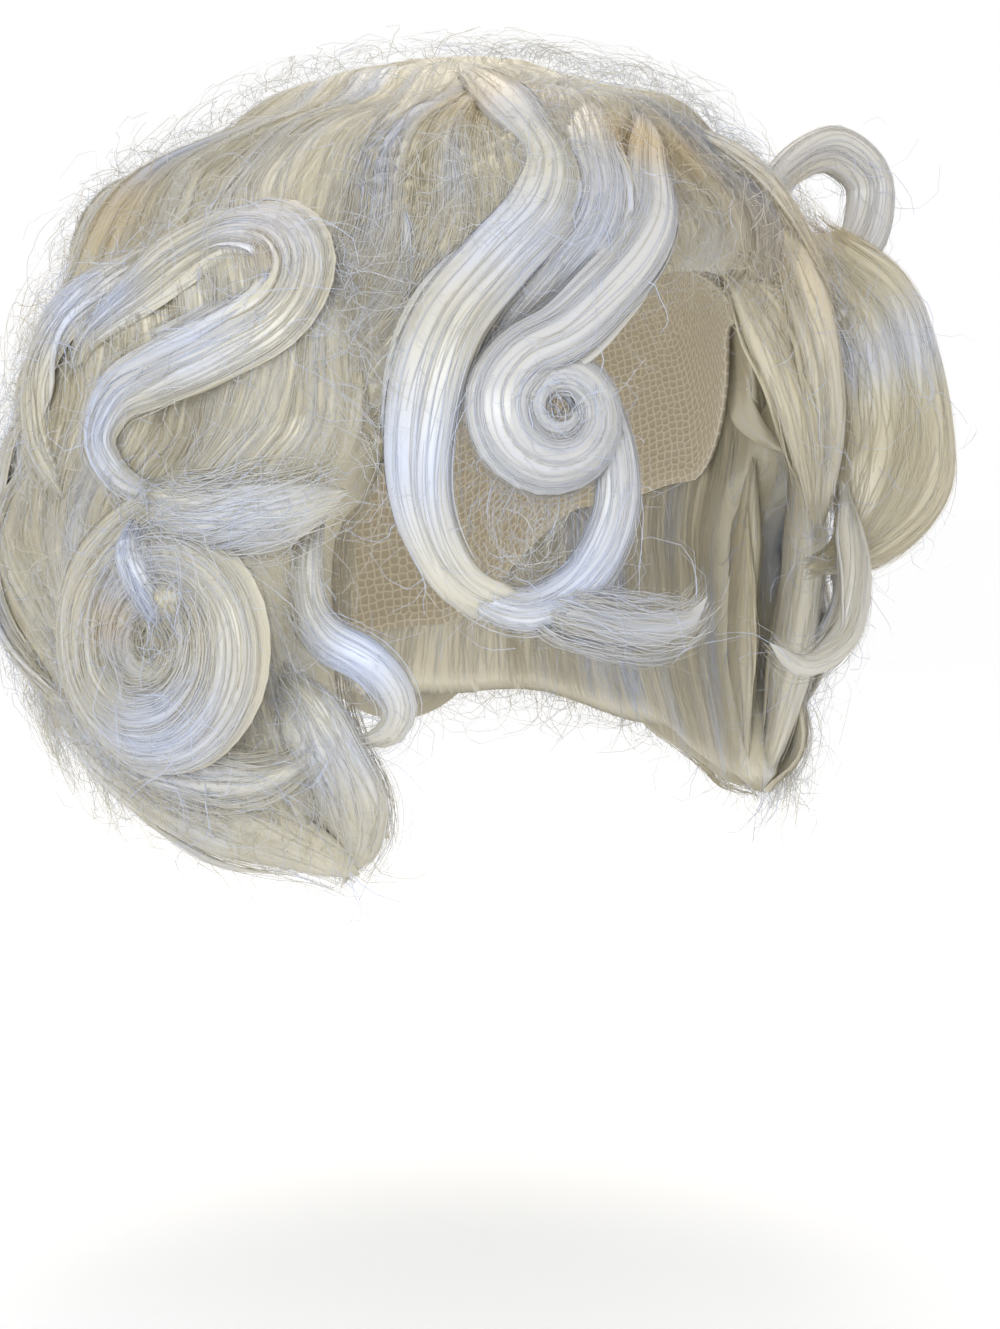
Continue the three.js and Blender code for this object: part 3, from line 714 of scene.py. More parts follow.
def addStrands(data, surface, look, rng):
    count, sections = look["count"], look["sections"]
    inside = surface.endswith("Inner")
    turn = rng.uniform(*look["bearings"], (count, 1))
    limit = arcLength(surface, turn) - 2
    if not inside:  # hair from the parting comes down further aside, where it has more room
        limit = np.maximum(limit, arcLength(surface, combed(turn, 130 + 0 * turn)) - 2)
    first, last = look["arcs"]
    arc = first + (np.minimum(limit, last) - 34 - first) * rng.random((count, 1)) ** look["even"]
    length = np.minimum(rng.uniform(*look["length"], (count, 1)), limit - arc)
    share = np.linspace(0, 1, sections)[None]
    arcs = arc + length * share
    turns = turn + look["cross"] * wander(rng, count, sections, 0.8) * degreesPerMm(arcs)
    lies = (lambda a: turns) if inside else (lambda a: combed(turns, a))
    arcs = np.minimum(arcs, arcLength(surface, lies(arcs)) - rng.uniform(1, 14, (count, 1)))
    fluff = np.abs(rng.normal(0, look["fluff"], (count, 1))) * np.sin(np.pi * (0.06 + 0.88 * share))
    relief = 0.4 * bundleRelief(turns + 90, arcs) - 0.7 if inside else bundleRelief(turns, arcs) - 0.6
    points, out = onSurface(surface, lies(arcs), arcs, fluff + relief)
    if not inside:
        points = points + out * swell(points)
    taper = 0.5 + 0.5 * np.sin(np.pi * (0.1 + 0.8 * share))
    width = look["fibre"] * rng.uniform(0.6, 1.25, (count, 1)) * taper
    # painted light on the crests, painted shade in the valleys and a painted sheen, over the strands' own tone
    tone = look["tone"] + 0.05 * rng.standard_normal((count, 1)) + bodyToneAndPaintedLight(turns, arcs, relief)
    gold = np.clip(look["gold"] * rng.uniform(0.2, 1.8, (count, 1)), 0, 1)
    addRibbons(data, points, out, width, np.clip(tone, 0, 1), gold)


def addBody(data, surface, bearings, onTop):
    # closed slab of combed hair, a little inside the outer form, rounded at its hem and at its front edge
    b, crownArc = bodyLook, hairForm["crownArc"]
    outerName, innerName = surface + "Outer", surface + "Inner"
    low, high = bearings
    first, last = (0, crownArc + b["lap"]) if onTop else (crownArc - b["lap"], 190)
    ring = high - low >= 360
    columns = int(math.radians(high - low) * (78 if onTop else 125) / b["columnStep"])
    turn = np.linspace(low, high, columns, endpoint=not ring)[:, None]
    share = np.linspace(0, 1, int((last - first) / b["rowStep"]) + 2)[None]
    outerEnd = last if onTop else arcLength(outerName, turn) - b["hemInset"]
    innerEnd = last * b["crownTaper"] if onTop else arcLength(innerName, turn) - b["hemInset"]
    outerArc = first + (outerEnd - first) * share + 0 * turn
    if not onTop:
        for _ in range(3):  # the hem where the combed hair comes down, not where it is rooted
            outerEnd = arcLength(outerName, combed(turn, outerArc)) - b["hemInset"]
            outerArc = first + (outerEnd - first) * share
    innerFirst = first * b["crownTaper"]
    innerArc = innerFirst + (innerEnd - innerFirst) * share + 0 * turn
    relief, under = bundleRelief(turn, outerArc), 0.4 * bundleRelief(turn + 90, innerArc) - 0.8
    tuck = 3 * ease(outerArc, crownArc - 4, last) if onTop else 2.5 * (1 - ease(outerArc, first, crownArc))
    outer, outNormal = onSurface(outerName, combed(turn, outerArc), outerArc, relief - b["sink"] - tuck)
    outer = outer + outNormal * swell(outer)
    inner, inNormal = onSurface(innerName, turn + 0 * innerArc, innerArc, under)
    middle = (outer + inner) / 2
    if not onTop:
        hem = np.clip((outerArc - outerEnd + b["hemRound"]) / b["hemRound"], 0, 1)
        front = np.clip(1 - np.abs(np.abs(wrapTurn(turn)) - hairForm["frontEdge"]) / b["frontRound"], 0, 1)
        front = front * ease(-outer[..., 2], 85, 110)
        close = (1 - np.sqrt(1 - np.maximum(hem, front) ** 2))[..., None]
        outer, inner = outer + (middle - outer) * close, inner + (middle - inner) * close
    loop = lambda a, c: np.concatenate([a, c[:, ::-1], a[:, :1]], 1)
    points, normals = loop(outer, inner), loop(outNormal, inNormal)
    # painted light on the crests, painted shade in the valleys and a painted sheen, over the slab's own tone
    tone = loop(b["tone"] + bodyToneAndPaintedLight(turn, outerArc, relief), b["innerTone"] + 0 * under)
    if not ring:  # a wall at each end
        wall = loop(middle, middle)
        points = np.concatenate([wall[:1], points, wall[-1:]])
        normals = np.concatenate([normals[:1], normals, normals[-1:]])
        tone = np.concatenate([tone[:1], tone, tone[-1:]])
    addSheet(data, points, ring, normals, tone, b["gold"])


swirlLook = {  # loose fibres that turn round inside a curl
    "sections": 12,
    "inner": 0.1,
    "span": (0.7, 3.2),
    "hand": 1,
    "scatter": 0.14,
    "squeeze": 1,
    "bowl": 0,
    "fibre": 0.26,
}


def addSwirl(data, row, rng):
    look = {**swirlLook, **row}
    count, sections = look["count"], look["sections"]
    centre = at(*look["centre"])
    axis = unit(np.array([centre[0], centre[1], 0]))
    across = np.array([axis[1], -axis[0], 0])
    up = np.array([0, 0, 1.0])
    radius = look["radius"] * rng.uniform(look["inner"], 1, (count, 1)) ** 0.7
    start = rng.uniform(0, 2 * np.pi, (count, 1))
    span = rng.uniform(*look["span"], (count, 1)) * look["hand"]
    share = np.linspace(0, 1, sections)[None]
    angle = start + span * share
    spiral = radius * (1 - 0.25 * share + 0.08 * wander(rng, count, sections, 1.5))
    off = rng.normal(0, 1, (count, 1)) * look["depth"] / 2 + 1.2 * wander(rng, count, sections, 1.5)
    aside = rng.normal(0, look["radius"] * look["scatter"], (count, 2))
    x = spiral * np.cos(angle) * look["squeeze"] + aside[:, :1]
    z = spiral * np.sin(angle) + aside[:, 1:]
    bowl = look["bowl"] * (np.hypot(x, z) / look["radius"]) ** 2
    points = centre + x[..., None] * across + z[..., None] * up + (off + bowl)[..., None] * axis
    facing = unit(axis + 0.6 * rng.standard_normal((count, 1, 3))) + 0 * points
    width = look["fibre"] * rng.uniform(0.6, 1.2, (count, 1)) + 0 * share
    tone = np.clip(look["tone"] + 0.15 * rng.standard_normal((count, 1)), 0, 1)
    addRibbons(data, points, facing, width, tone, 0.06)


# materials

strandLook = {
    "shade": (0.47, 0.405, 0.265),
    "ivory": (0.56, 0.512, 0.375),
    "pearl": (0.56, 0.56, 0.565),
    "white": (0.54, 0.605, 0.785),
    "gold": (0.62, 0.45, 0.18),
    "roughness": (0.24, 0.4),
    "grain": 160,
    "specular": 1.0,
    "ior": 1.6,
    "through": 0.1,  # share of the light that passes a strand
}
underLook = {
    "streaks": (95, 4, 1),  # fine lines for each 100 mm across and along
    "bands": (30, 2, 1),
    "contrast": 0.3,
    "bump": 0.7,
    "relief": 0.0003,
    "roughness": (0.3, 0.5),
    "stretch": 0.75,
}


def newMaterial(name):
    material = bpy.data.materials.new(name)
    material.use_nodes = True
    tree = material.node_tree
    return material, tree, next(n for n in tree.nodes if n.type == "BSDF_PRINCIPLED")


def feed(tree, node, values):  # each socket takes a constant or a link
    for socket, value in values.items():
        if isinstance(value, bpy.types.NodeSocket):
            tree.links.new(value, node.inputs[socket])
        else:
            node.inputs[socket].default_value = value


def addNode(tree, kind, values=(), **settings):
    node = tree.nodes.new(kind)
    for key, setting in settings.items():
        setattr(node, key, setting)
    feed(tree, node, dict(values))
    return node


def attributeValue(tree, name):
    return addNode(tree, "ShaderNodeAttribute", attribute_name=name).outputs["Fac"]


def maths(tree, operation, *values):
    return addNode(tree, "ShaderNodeMath", dict(enumerate(values)), operation=operation).outputs["Value"]


def spread(tree, value, limits):  # 0 to 1 brought between two limits
    low, high = limits
    return addNode(tree, "ShaderNodeMapRange", {"Value": value, "To Min": low, "To Max": high}).outputs["Result"]


def colourRamp(tree, value, stops):
    ramp = addNode(tree, "ShaderNodeValToRGB", {"Fac": value})
    elements = ramp.color_ramp.elements
    while len(elements) < len(stops):
        elements.new(0.5)
    for element, (place, colour) in zip(elements, stops):
        element.position = place
        element.color = (*colour, 1)
    return ramp.outputs["Color"]


def fibreColour(tree, tone):
    look = strandLook
    stops = [(0.0, look["shade"]), (0.36, look["ivory"]), (0.66, look["pearl"]), (1.0, look["white"])]
    values = {"Factor": attributeValue(tree, "gold"), "A": colourRamp(tree, tone, stops), "B": (*look["gold"], 1)}
    return addNode(tree, "ShaderNodeMix", values, data_type="RGBA").outputs["Result"]


def letThrough(tree, shader, colour, share):  # thin hair lets part of the light pass
    through = addNode(tree, "ShaderNodeBsdfTranslucent", {"Color": colour}).outputs["BSDF"]
    mix = addNode(tree, "ShaderNodeMixShader", {"Fac": share, 1: shader.outputs["BSDF"], 2: through})
    output = next(n for n in tree.nodes if n.type == "OUTPUT_MATERIAL")
    tree.links.new(mix.outputs["Shader"], output.inputs["Surface"])


def fibreMaterial():
    material, tree, shader = newMaterial("hairFibre")
    colour = fibreColour(tree, attributeValue(tree, "tone"))
    grain = addNode(tree, "ShaderNodeTexNoise", {"Scale": strandLook["grain"]}).outputs["Fac"]
    feed(tree, shader, {
        "Base Color": colour,
        "Roughness": spread(tree, grain, strandLook["roughness"]),
        "Specular IOR Level": strandLook["specular"],
        "IOR": strandLook["ior"],
    })
    letThrough(tree, shader, colour, strandLook["through"])
    return material


def streakNoise(tree, flow, scale, detail):
    place = addNode(tree, "ShaderNodeMapping", {"Vector": flow, "Scale": scale}).outputs["Vector"]
    return addNode(tree, "ShaderNodeTexNoise", {"Vector": place, "Scale": 1, "Detail": detail}).outputs["Fac"]


def underMaterial():  # fine lines and broader bands that run along the lock, in its colour and in its relief
    look = underLook
    material, tree, shader = newMaterial("hairUnder")
    flow = addNode(tree, "ShaderNodeUVMap", uv_map="flow").outputs["UV"]
    fine, broad = streakNoise(tree, flow, look["streaks"], 2), streakNoise(tree, flow, look["bands"], 3)
    both = maths(tree, "ADD", fine, broad)
    shift = maths(tree, "SUBTRACT", attributeValue(tree, "tone"), look["contrast"])
    level = maths(tree, "MULTIPLY_ADD", both, look["contrast"], shift)
    raised = {"Strength": look["bump"], "Distance": look["relief"], "Height": both}
    across = addNode(tree, "ShaderNodeTangent", direction_type="UV_MAP", uv_map="flow")
    feed(tree, shader, {
        "Base Color": fibreColour(tree, level),
        "Normal": addNode(tree, "ShaderNodeBump", raised).outputs["Normal"],
        "Roughness": spread(tree, broad, look["roughness"]),
        "Tangent": across.outputs["Tangent"],
        "Anisotropic": look["stretch"],
        "Specular IOR Level": strandLook["specular"],
        "IOR": strandLook["ior"],
    })
    return material


hairMaterials = [underMaterial(), fibreMaterial()]
print("hair materials ready")

# what several locks share
lying = {"ridge": True, "onBody": True, "thick": 4.5, "root": 0.3, "tip": 0.3}
swellOnly = {"ridge": True, "bare": True}  # no lock of its own, the body only rises along it
frayed = {"strays": 0.5, "uneven": 0.4, "loose": 0.6, "density": 2.8}
hemLock = {"root": 0.3, "strays": 0.6, "strayReach": 6, "uneven": 0.6, "density": 3.4}
ringLock = {"ridge": True, "thick": 6, "root": 0.4, "tip": 0.4, "tone": 0.5, "strays": 0.4, "loose": 0.9}
ringCurl = {"turns": 1.8, "close": 0.72, "lift": 2}

# hair at the right of the front

fringeRight = {
    "seed": 11,
    "locks": {
        "sideSweep": {
            "via": [
                (-46, -11, 44), (-40, -2, 68), (-35, 9, 85), (-32, 22, 97), (-34, 35, 104), (-41, 50, 112),
                (-47, 66, 118), (-50, 86, 120), (-50, 112, 120), (-45, 132, 117), (-36, 139, 116),
            ],
            "width": 21, "thick": 8, "root": 0.3, "tip": 0.6, "pinch": [(0.27, 0.55, 0.07)], "wisps": 6,
            "tone": 0.5, "gold": 0.04, "paintedShine": [(0.18, 0.07, 0.35), (0.45, 0.09, 0.3), (0.75, 0.1, 0.35)],
        },
        "cheekCurl": {
            "via": [
                (3, -5, 52), (-6, 8, 78), (-13, 21, 92), (-17, 36, 103), (-22, 48, 110),
                (-28, 59, 116), (-33, 68, 120), (-38, 74, 122),
            ],
            "curl": {"radius": 16.5, "turns": 1.7, "hand": 1, "close": 0.7, "lift": 3},
            "width": 18, "thick": 7, "root": 0.3, "tip": 0.6, "roll": (0, 80), "core": 0.9, "wisps": 5,
            "tone": 0.7, "gold": 0.06,
        },
        "underLoop": {
            "via": [
                (-28, 78, 112), (-26, 96, 117), (-26, 114, 118), (-30, 130, 118),
                (-37, 138, 117), (-45, 131, 114), (-49, 112, 113),
            ],
            "width": 13, "thick": 9, "tone": 0.7, "core": 0.9, "paintedShine": [(0.5, 0.15, 0.2)],
        },
        "cheekFlick": {
            "via": [(-39, 136, 115), (-31, 140, 120), (-23, 143, 122), (-17, 141, 123), (-14, 135, 122)],
            "width": 19, "thick": 9, "root": 0.35, "tip": 0.45, "core": 0.45, "density": 6, "fibre": 0.22,
            "depth": 0.5, "strays": 0.4, "uneven": 0.7, "loose": 1.0, "tone": 0.6, "paintedShine": [(0.6, 0.3, 0.15)],
        },
        "middleLock": {
            "ridge": True,
            "via": [
                (-14, -9, 50), (-19, 4, 73), (-24, 19, 95), (-25, 31, 104),
                (-28, 42, 108), (-33, 52, 110), (-41, 70, 113), (-45, 88, 114),
            ],
            "width": 19, "thick": 7, "root": 0.2, "tone": 0.62, "gold": 0.1, "paintedShine": [(0.6, 0.2, 0.25)],
        },
        "templeStroke": {
            **lying,
            "via": [(-57, 22, 1), (-55, 33, 3), (-53, 46, 3), (-53, 62, 1)],
            "width": 8, "thick": 2, "tip": 0.2, "tone": 0.75, "strays": 0.4, "uneven": 0.4,
        },
        "templeLock": {
            **swellOnly,
            "via": [(-48, 14, 84), (-53, 45, 106), (-54, 70, 111), (-58, 94, 111)],
            "width": 28,
        },
    },
    "swirls": [
        {"centre": (-35, 90, 121), "radius": 15.5, "count": 210, "depth": 9, "tone": 0.85},
        {
            "centre": (-37, 115, 117), "radius": 18, "count": 150, "depth": 7, "tone": 0.7,
            "squeeze": 0.75, "fibre": 0.15, "scatter": 0.28,
        },
    ],
    "strands": {**combedStrands, "bearings": (-57, 7), "arcs": (62, 200), "count": 900, "gold": 0.12},
}

# hair at the left of the front

fringeLeft = {
    "seed": 12,
    "locks": {
        "flippedLoop": {
            "via": [
                (32, 44, 95), (37, 22, 89), (44, 9, 98), (49, 4, 111),
                (52, 12, 123), (51, 27, 122), (46, 41, 113), (42, 58, 108),
            ],
            "width": 15, "thick": 7, "root": 0.9, "tip": 0.9, "tone": 0.66, "gold": 0.12,
        },
        "fullCurl": {
            "via": [(40, 34, 98), (48, 52, 117), (49, 80, 127), (46, 106, 127), (42, 124, 117), (35, 130, 102)],
            "width": 40, "thick": 26, "roll": (60, 60), "root": 0.6, "tip": 0.15, "density": 3.0, "strays": 0.15,
            "tone": 0.28, "paintedShine": [(0.34, 0.12, 0.45)],
        },
        "innerLock": {
            "via": [(20, 32, 97), (30, 62, 104), (38, 92, 107), (39, 118, 106)],
            "width": 26, "thick": 12, "tone": 0.48, "gold": 0.1, "density": 3.0,
        },
        "hairlineLock": {
            "via": [(4, 42, 92), (13, 53, 94), (23, 66, 96), (29, 84, 101), (34, 101, 103), (37, 118, 104)],
            "width": 24, "thick": 9, "root": 0.3, "tip": 0.3, "density": 3.0, "strays": 0.3,
            "tone": 0.42, "gold": 0.12,
        },
        "jawRing": {
            "via": [(41, 104, 112), (37, 119, 114), (32, 136, 116), (30, 150, 113), (25, 158, 103), (21, 151, 95)],
            "width": 15, "thick": 10, "root": 0.3, "tone": 0.56, "strays": 0.4,
        },
        "foreheadWave": {
            "ridge": True,
            "via": [(10, 0, 64), (22, 18, 90), (30, 40, 102), (44, 60, 110)],
            "width": 24, "thick": 8, "root": 0.3, "tone": 0.52, "gold": 0.1,
        },
    },
    "swirls": [],
    "strands": {**combedStrands, "bearings": (5, 57), "arcs": (62, 200), "count": 1500, "gold": 0.1},
}

# right side

sideRight = {
    "seed": 13,
    "locks": {
        "upperS": {
            **lying,
            "via": [
                (-98, 80, 2), (-94, 69, 6), (-86, 58, 9), (-80, 50, 10), (-74, 45, 10), (-69, 47, 10), (-66.5, 54, 9),
                (-67.5, 63, 9), (-74, 71, 9), (-82, 77, 9), (-88, 83, 8), (-91, 95, 7), (-89, 105, 6), (-82, 111, 3),
            ],
            "width": 24, "pinch": [(0.33, 0.8, 0.06)], "tone": 0.5,
            "paintedShine": [(0.14, 0.06, 0.4), (0.4, 0.06, 0.4), (0.64, 0.08, 0.3), (0.85, 0.09, 0.45)],
        },
        "turnedBand": {
            **lying,
            "via": [(-88, 106, 0), (-82, 112, 5), (-75, 114, 7), (-67, 112, 7), (-60, 109, 4)],
            "width": 24, "thick": 4, "tip": 0.4, "density": 3.6, "strays": 0.7, "strayReach": 8, "uneven": 0.6,
            "wisps": 0, "tone": 0.5, "paintedShine": [(0.6, 0.25, 0.3)],
        },
        "bigRing": {
            **ringLock,
            "via": [(-68, 106, 122), (-80, 111, 128), (-88, 121, 131)],
            "curl": {**ringCurl, "radius": 29, "hand": 1},
            "width": 27, "wisps": 0, "paintedShine": [(0.48, 0.08, 0.4), (0.8, 0.1, 0.35)],
        },
        "ringTongue": {
            **lying,
            "via": [(-86, 112, 3), (-85, 122, 8), (-83, 134, 8), (-81, 145, 6), (-80, 152, 1)],
            "width": 14, "thick": 6, "tip": 0.2, "tone": 0.9,
        },
        "earCurl": {
            "via": [
                (-66, 108, 108), (-67, 128, 112), (-66, 139, 112), (-63, 146, 113), (-58, 151, 113),
                (-54.5, 158, 112), (-53.5, 164, 111), (-55, 170, 110), (-60, 173, 109),
            ],
            "width": 12, "thick": 8, "tip": 0.6, "strays": 0.4, "tone": 0.56, "paintedShine": [(0.6, 0.15, 0.4)],
        },
        "hemSweep": {
            **hemLock,
            "via": [
                (-112, 162, 124), (-104, 170, 124), (-91, 183, 119),
                (-78, 194, 113), (-68, 202, 106), (-61, 209, 101),
            ],
            "width": 28, "thick": 11, "wisps": 5, "tone": 0.46, "paintedShine": [(0.3, 0.12, 0.25), (0.6, 0.1, 0.2)],
        },
        "upperHem": {
            **lying, **frayed,
            "via": [(-102, 158, 3), (-92, 170, 8), (-82, 178, 10), (-72, 181, 9), (-62, 175, 3)],
            "width": 24, "tip": 0.2, "tone": 0.52, "paintedShine": [(0.5, 0.2, 0.25)],
        },
        "neckLock": {
            **hemLock,
            "via": [(-72, 152, 113), (-66, 170, 111), (-62, 186, 107), (-61, 200, 103), (-64, 212, 99)],
            "width": 24, "thick": 9, "tip": 0.15, "wisps": 4, "tone": 0.48, "paintedShine": [(0.45, 0.15, 0.25)],
        },
        "earWave": {
            **swellOnly,
            "via": [(-66, 24, 96), (-62, 48, 110), (-60, 74, 114), (-63, 104, 114)],
            "width": 36,
        },
        "rearStroke": {
            **lying,
            "via": [(-88, 42, 4), (-93, 54, 8), (-99, 66, 8), (-103, 80, 7), (-103, 96, 5), (-98, 110, 2)],
            "width": 20, "tone": 0.48, "paintedShine": [(0.35, 0.15, 0.4)],
        },
        "edgeStroke": {
            **lying,
            "via": [(-112, 98, 2), (-117, 112, 7), (-120, 128, 8), (-120, 146, 8), (-117, 162, 6), (-111, 172, 2)],
            "width": 18, "tone": 0.5, "paintedShine": [(0.5, 0.15, 0.35)],
        },
        "rearWave": {
            **swellOnly,
            "via": [
                (-112, 34, 108), (-106, 58, 125), (-113, 88, 132),
                (-107, 122, 132), (-114, 152, 127), (-110, 174, 121),
            ],
            "width": 26,
        },
    },
    "swirls": [
        {
            "centre": (-84, 147, 132), "radius": 27, "count": 200, "depth": 4, "tone": 0.66,
            "bowl": 3, "fibre": 0.16, "scatter": 0.25,
        },
    ],
    "strands": {**combedStrands, "bearings": (-129, -58), "arcs": (62, 400), "count": 1500},
    "inside": {**insideStrands, "bearings": (-127, -57), "count": 900},
}

# left side

sideLeft = {
    "seed": 14,
    "locks": {
        "upperS": {
            **lying,
            "via": [
                (98, 76, 2), (92, 60, 6), (84, 49, 10), (76, 46, 10), (70, 52, 10), (69, 62, 9),
                (76, 72, 9), (85, 81, 9), (90, 92, 8), (88, 105, 6), (82, 113, 3),
            ],
            "width": 22, "tone": 0.5,
            "paintedShine": [(0.16, 0.07, 0.4), (0.42, 0.07, 0.4), (0.66, 0.08, 0.3), (0.86, 0.09, 0.4)],
        },
        "bigRing": {
            **ringLock,
            "via": [(70, 106, 122), (84, 116, 128), (92, 129, 131)],
            "curl": {**ringCurl, "radius": 27, "hand": -1},
            "width": 25, "paintedShine": [(0.2, 0.08, 0.25), (0.48, 0.08, 0.35), (0.8, 0.1, 0.3)],
        },
        "earCurl": {
            "via": [(66, 92, 112), (66, 122, 114), (61, 146, 112)],
            "curl": {"radius": 12, "turns": 0.8, "hand": -1, "close": 0.3, "lift": 4},
            "width": 16, "thick": 10, "tone": 0.68,
        },
        "hemSweep": {
            **lying, **frayed,
            "via": [(112, 160, 1), (105, 172, 7), (91, 184, 9), (78, 194, 8), (66, 201, 3)],
            "width": 30, "tip": 0.2, "tone": 0.46,
        },
        "innerEdge": {
            "via": [(60, 95, 91), (65, 120, 93), (67, 150, 93), (64, 178, 92), (61, 198, 91)],
            "width": 22, "thick": 8, "root": 0.4, "tip": 0.2, "tone": 0.42,
        },
        "edgeLock": {
            "via": [(57, 92, 105), (56, 120, 107), (57, 150, 105), (59, 180, 101), (62, 198, 98)],
            "width": 20, "thick": 14, "root": 0.5, "tone": 0.5,
        },
        "neckLock": {
            **lying, **frayed,
            "via": [(70, 156, 2), (62, 172, 5), (61, 187, 5), (63, 203, 1)],
            "width": 24, "tip": 0.2, "tone": 0.46,
        },
        "earWave": {
            **swellOnly,
            "via": [(64, 24, 96), (62, 48, 110), (60, 72, 114), (64, 100, 114)],
            "width": 34,
        },
        "rearWave": {
            **swellOnly,
            "via": [
                (112, 34, 108), (105, 60, 125), (113, 90, 132),
                (106, 124, 132), (114, 154, 127), (109, 174, 121),
            ],
            "width": 26,
        },
    },
    "swirls": [
        {"centre": (88, 150, 131), "radius": 22, "count": 160, "depth": 5, "tone": 0.72, "bowl": 3, "hand": -1},
    ],
    "strands": {**combedStrands, "bearings": (58, 129), "arcs": (62, 400), "count": 1400},
    "inside": {**insideStrands, "bearings": (57, 127), "count": 900},
}

# back: staggered rows of pin curls

backHair = {
    "seed": 15,
    "curlRows": [  # drop, reach, radius, bearings
        (62, 129, 26, (147, 180, 213)),
        (110, 134, 27, (133, 163, 197, 227)),
        (156, 127, 24, (149, 180, 211)),
    ],
    "curl": {
        "ridge": True, "width": 26, "thick": 5.5, "root": 0.3, "tip": 0.4, "density": 1.2, "wisps": 1,
        "strays": 0.3, "loose": 0.6, "tone": 0.48, "paintedShine": [(0.3, 0.08, 0.3), (0.62, 0.1, 0.35)],
    },
    "turns": 1.7,
    "swirls": [],
    "strands": {**combedStrands, "bearings": (127, 233), "arcs": (62, 400), "count": 1300},
    "inside": {**insideStrands, "bearings": (127, 233), "count": 600},
}

# crown: low waves that run out from a raised tuft

crownHair = {
    "seed": 16,
    "tuft": {
        **swellOnly,
        "via": [(110, -10, 38), (70, -19, 14), (-70, -21, 16), (-44, -8, 44)],
        "width": 30,
    },
    "waves": [  # bearing, swing, end reach
        (-46, 4, 98), (-84, -8, 108), (-122, 8, 112), (180, -10, 114), (128, 8, 112), (84, -8, 108), (26, -5, 84),
    ],
    "waveWidth": 30,
    "swirls": [],
    "strands": {**combedStrands, "bearings": (-180, 180), "arcs": (4, 112), "count": 1500, "even": 0.6},
}


def backLocks(spec):
    locks = []
    for drop, reach, radius, bearings in spec["curlRows"]:
        for i, bearing in enumerate(bearings):
            hand = -1 if i % 2 else 1
            aside = math.degrees(radius / reach) * hand
            via = [
                (bearing + 0.6 * aside, drop - radius - 14, reach - 10),
                (bearing - 0.7 * aside, drop - 0.7 * radius, reach),
            ]
            curl = {**ringCurl, "turns": spec["turns"], "radius": radius, "hand": hand}
            locks.append({**spec["curl"], "via": via, "curl": curl})
    return locks


def crownLocks(spec):
    locks = [spec["tuft"]]
    for bearing, swing, end in spec["waves"]:
        via = [
            (bearing - swing, -14, 30),
            (bearing + swing, -5, 58),
            (bearing - swing, 9, (60 + end) / 2),
            (bearing, 26, end - 3),
        ]
        locks.append({**swellOnly, "via": via, "width": spec["waveWidth"]})
    return locks


def fullRows(locks):
    return [{**lockLook, "edge": lyingLook["edge"] if row.get("ridge") else 1, **row} for row in locks]


zoneLocks = {
    "fringe_right": fullRows(fringeRight["locks"].values()),
    "fringe_left": fullRows(fringeLeft["locks"].values()),
    "side_right": fullRows(sideRight["locks"].values()),
    "side_left": fullRows(sideLeft["locks"].values()),
    "back_hair": fullRows(backLocks(backHair)),
    "crown_hair": fullRows(crownLocks(crownHair)),
}
allRidges = [ridgeUnder(row) for locks in zoneLocks.values() for row in locks if row.get("ridge")]


def hairZone(name, node, spec, surface, bearings, onTop=False):
    rng = np.random.default_rng(spec["seed"])
    data = newMeshData()
    addBody(data, surface, bearings, onTop)
    addStrands(data, surface + "Outer", spec["strands"], rng)
    if "inside" in spec:
        addStrands(data, surface + "Inner", spec["inside"], rng)
    for row in zoneLocks[node]:
        if not row.get("bare"):
            addLock(data, row, rng)
    for row in spec["swirls"]:
        addSwirl(data, row, rng)
    makePiece(name, data, hairMaterials, node)


edge, back, parting = hairForm["frontEdge"], hairForm["sideBackEdge"], hairForm["parting"]
hairZone("fringe_right_hair", "fringe_right", fringeRight, "front", (-edge, parting))
hairZone("fringe_left_hair", "fringe_left", fringeLeft, "front", (parting, edge))
hairZone("side_right_hair", "side_right", sideRight, "side", (-back, -edge))
hairZone("side_left_hair", "side_left", sideLeft, "side", (edge, back))
hairZone("back_hair_curls", "back_hair", backHair, "side", (back, 360 - back))
hairZone("crown_hair_waves", "crown_hair", crownHair, "side", (-180, 180), onTop=True)

# loose fibres: short frizz over the surface and the locks, and long fine ones that stand off the outline

looseFibres = {
    "seed": 22,
    "frizz": {
        "count": 7000,
        "length": (5, 18), "rise": (1.0, 5.0), "fibre": 0.16, "tone": 0.72, "sections": 6, "curl": 0.7,
    },
    "fuzz": {
        "count": 1900, "length": (10, 30), "rise": (3, 9), "fibre": 0.16, "tone": 0.48, "sections": 9, "curl": 2.6,
    },
    "hem": {
        "count": 1500, "length": (8, 26), "rise": (0.5, 4), "fibre": 0.2, "tone": 0.4, "sections": 8, "curl": 1.4,
        "down": (0.92, 0.985), "toward": (0, 1.5),
    },
    "onLocks": {
        "forArea": 0.026,  # fibres for each square mm
        "length": (8, 26), "rise": (0.6, 5.0), "fibre": 0.2, "tone": 0.95, "sections": 6, "curl": 1.0,
    },
    "frontEdges": {
        "count": 500, "length": (10, 34), "rise": (0.5, 5), "fibre": 0.16, "tone": 0.75, "sections": 9, "curl": 1.6,
        "down": (0.45, 0.95), "bearings": (58.5, 66), "toward": (1.2, 0.9),
    },
    "lift": 1.0,
    "mostRoom": 260,  # mm of arc
    "gold": 0.12,
}


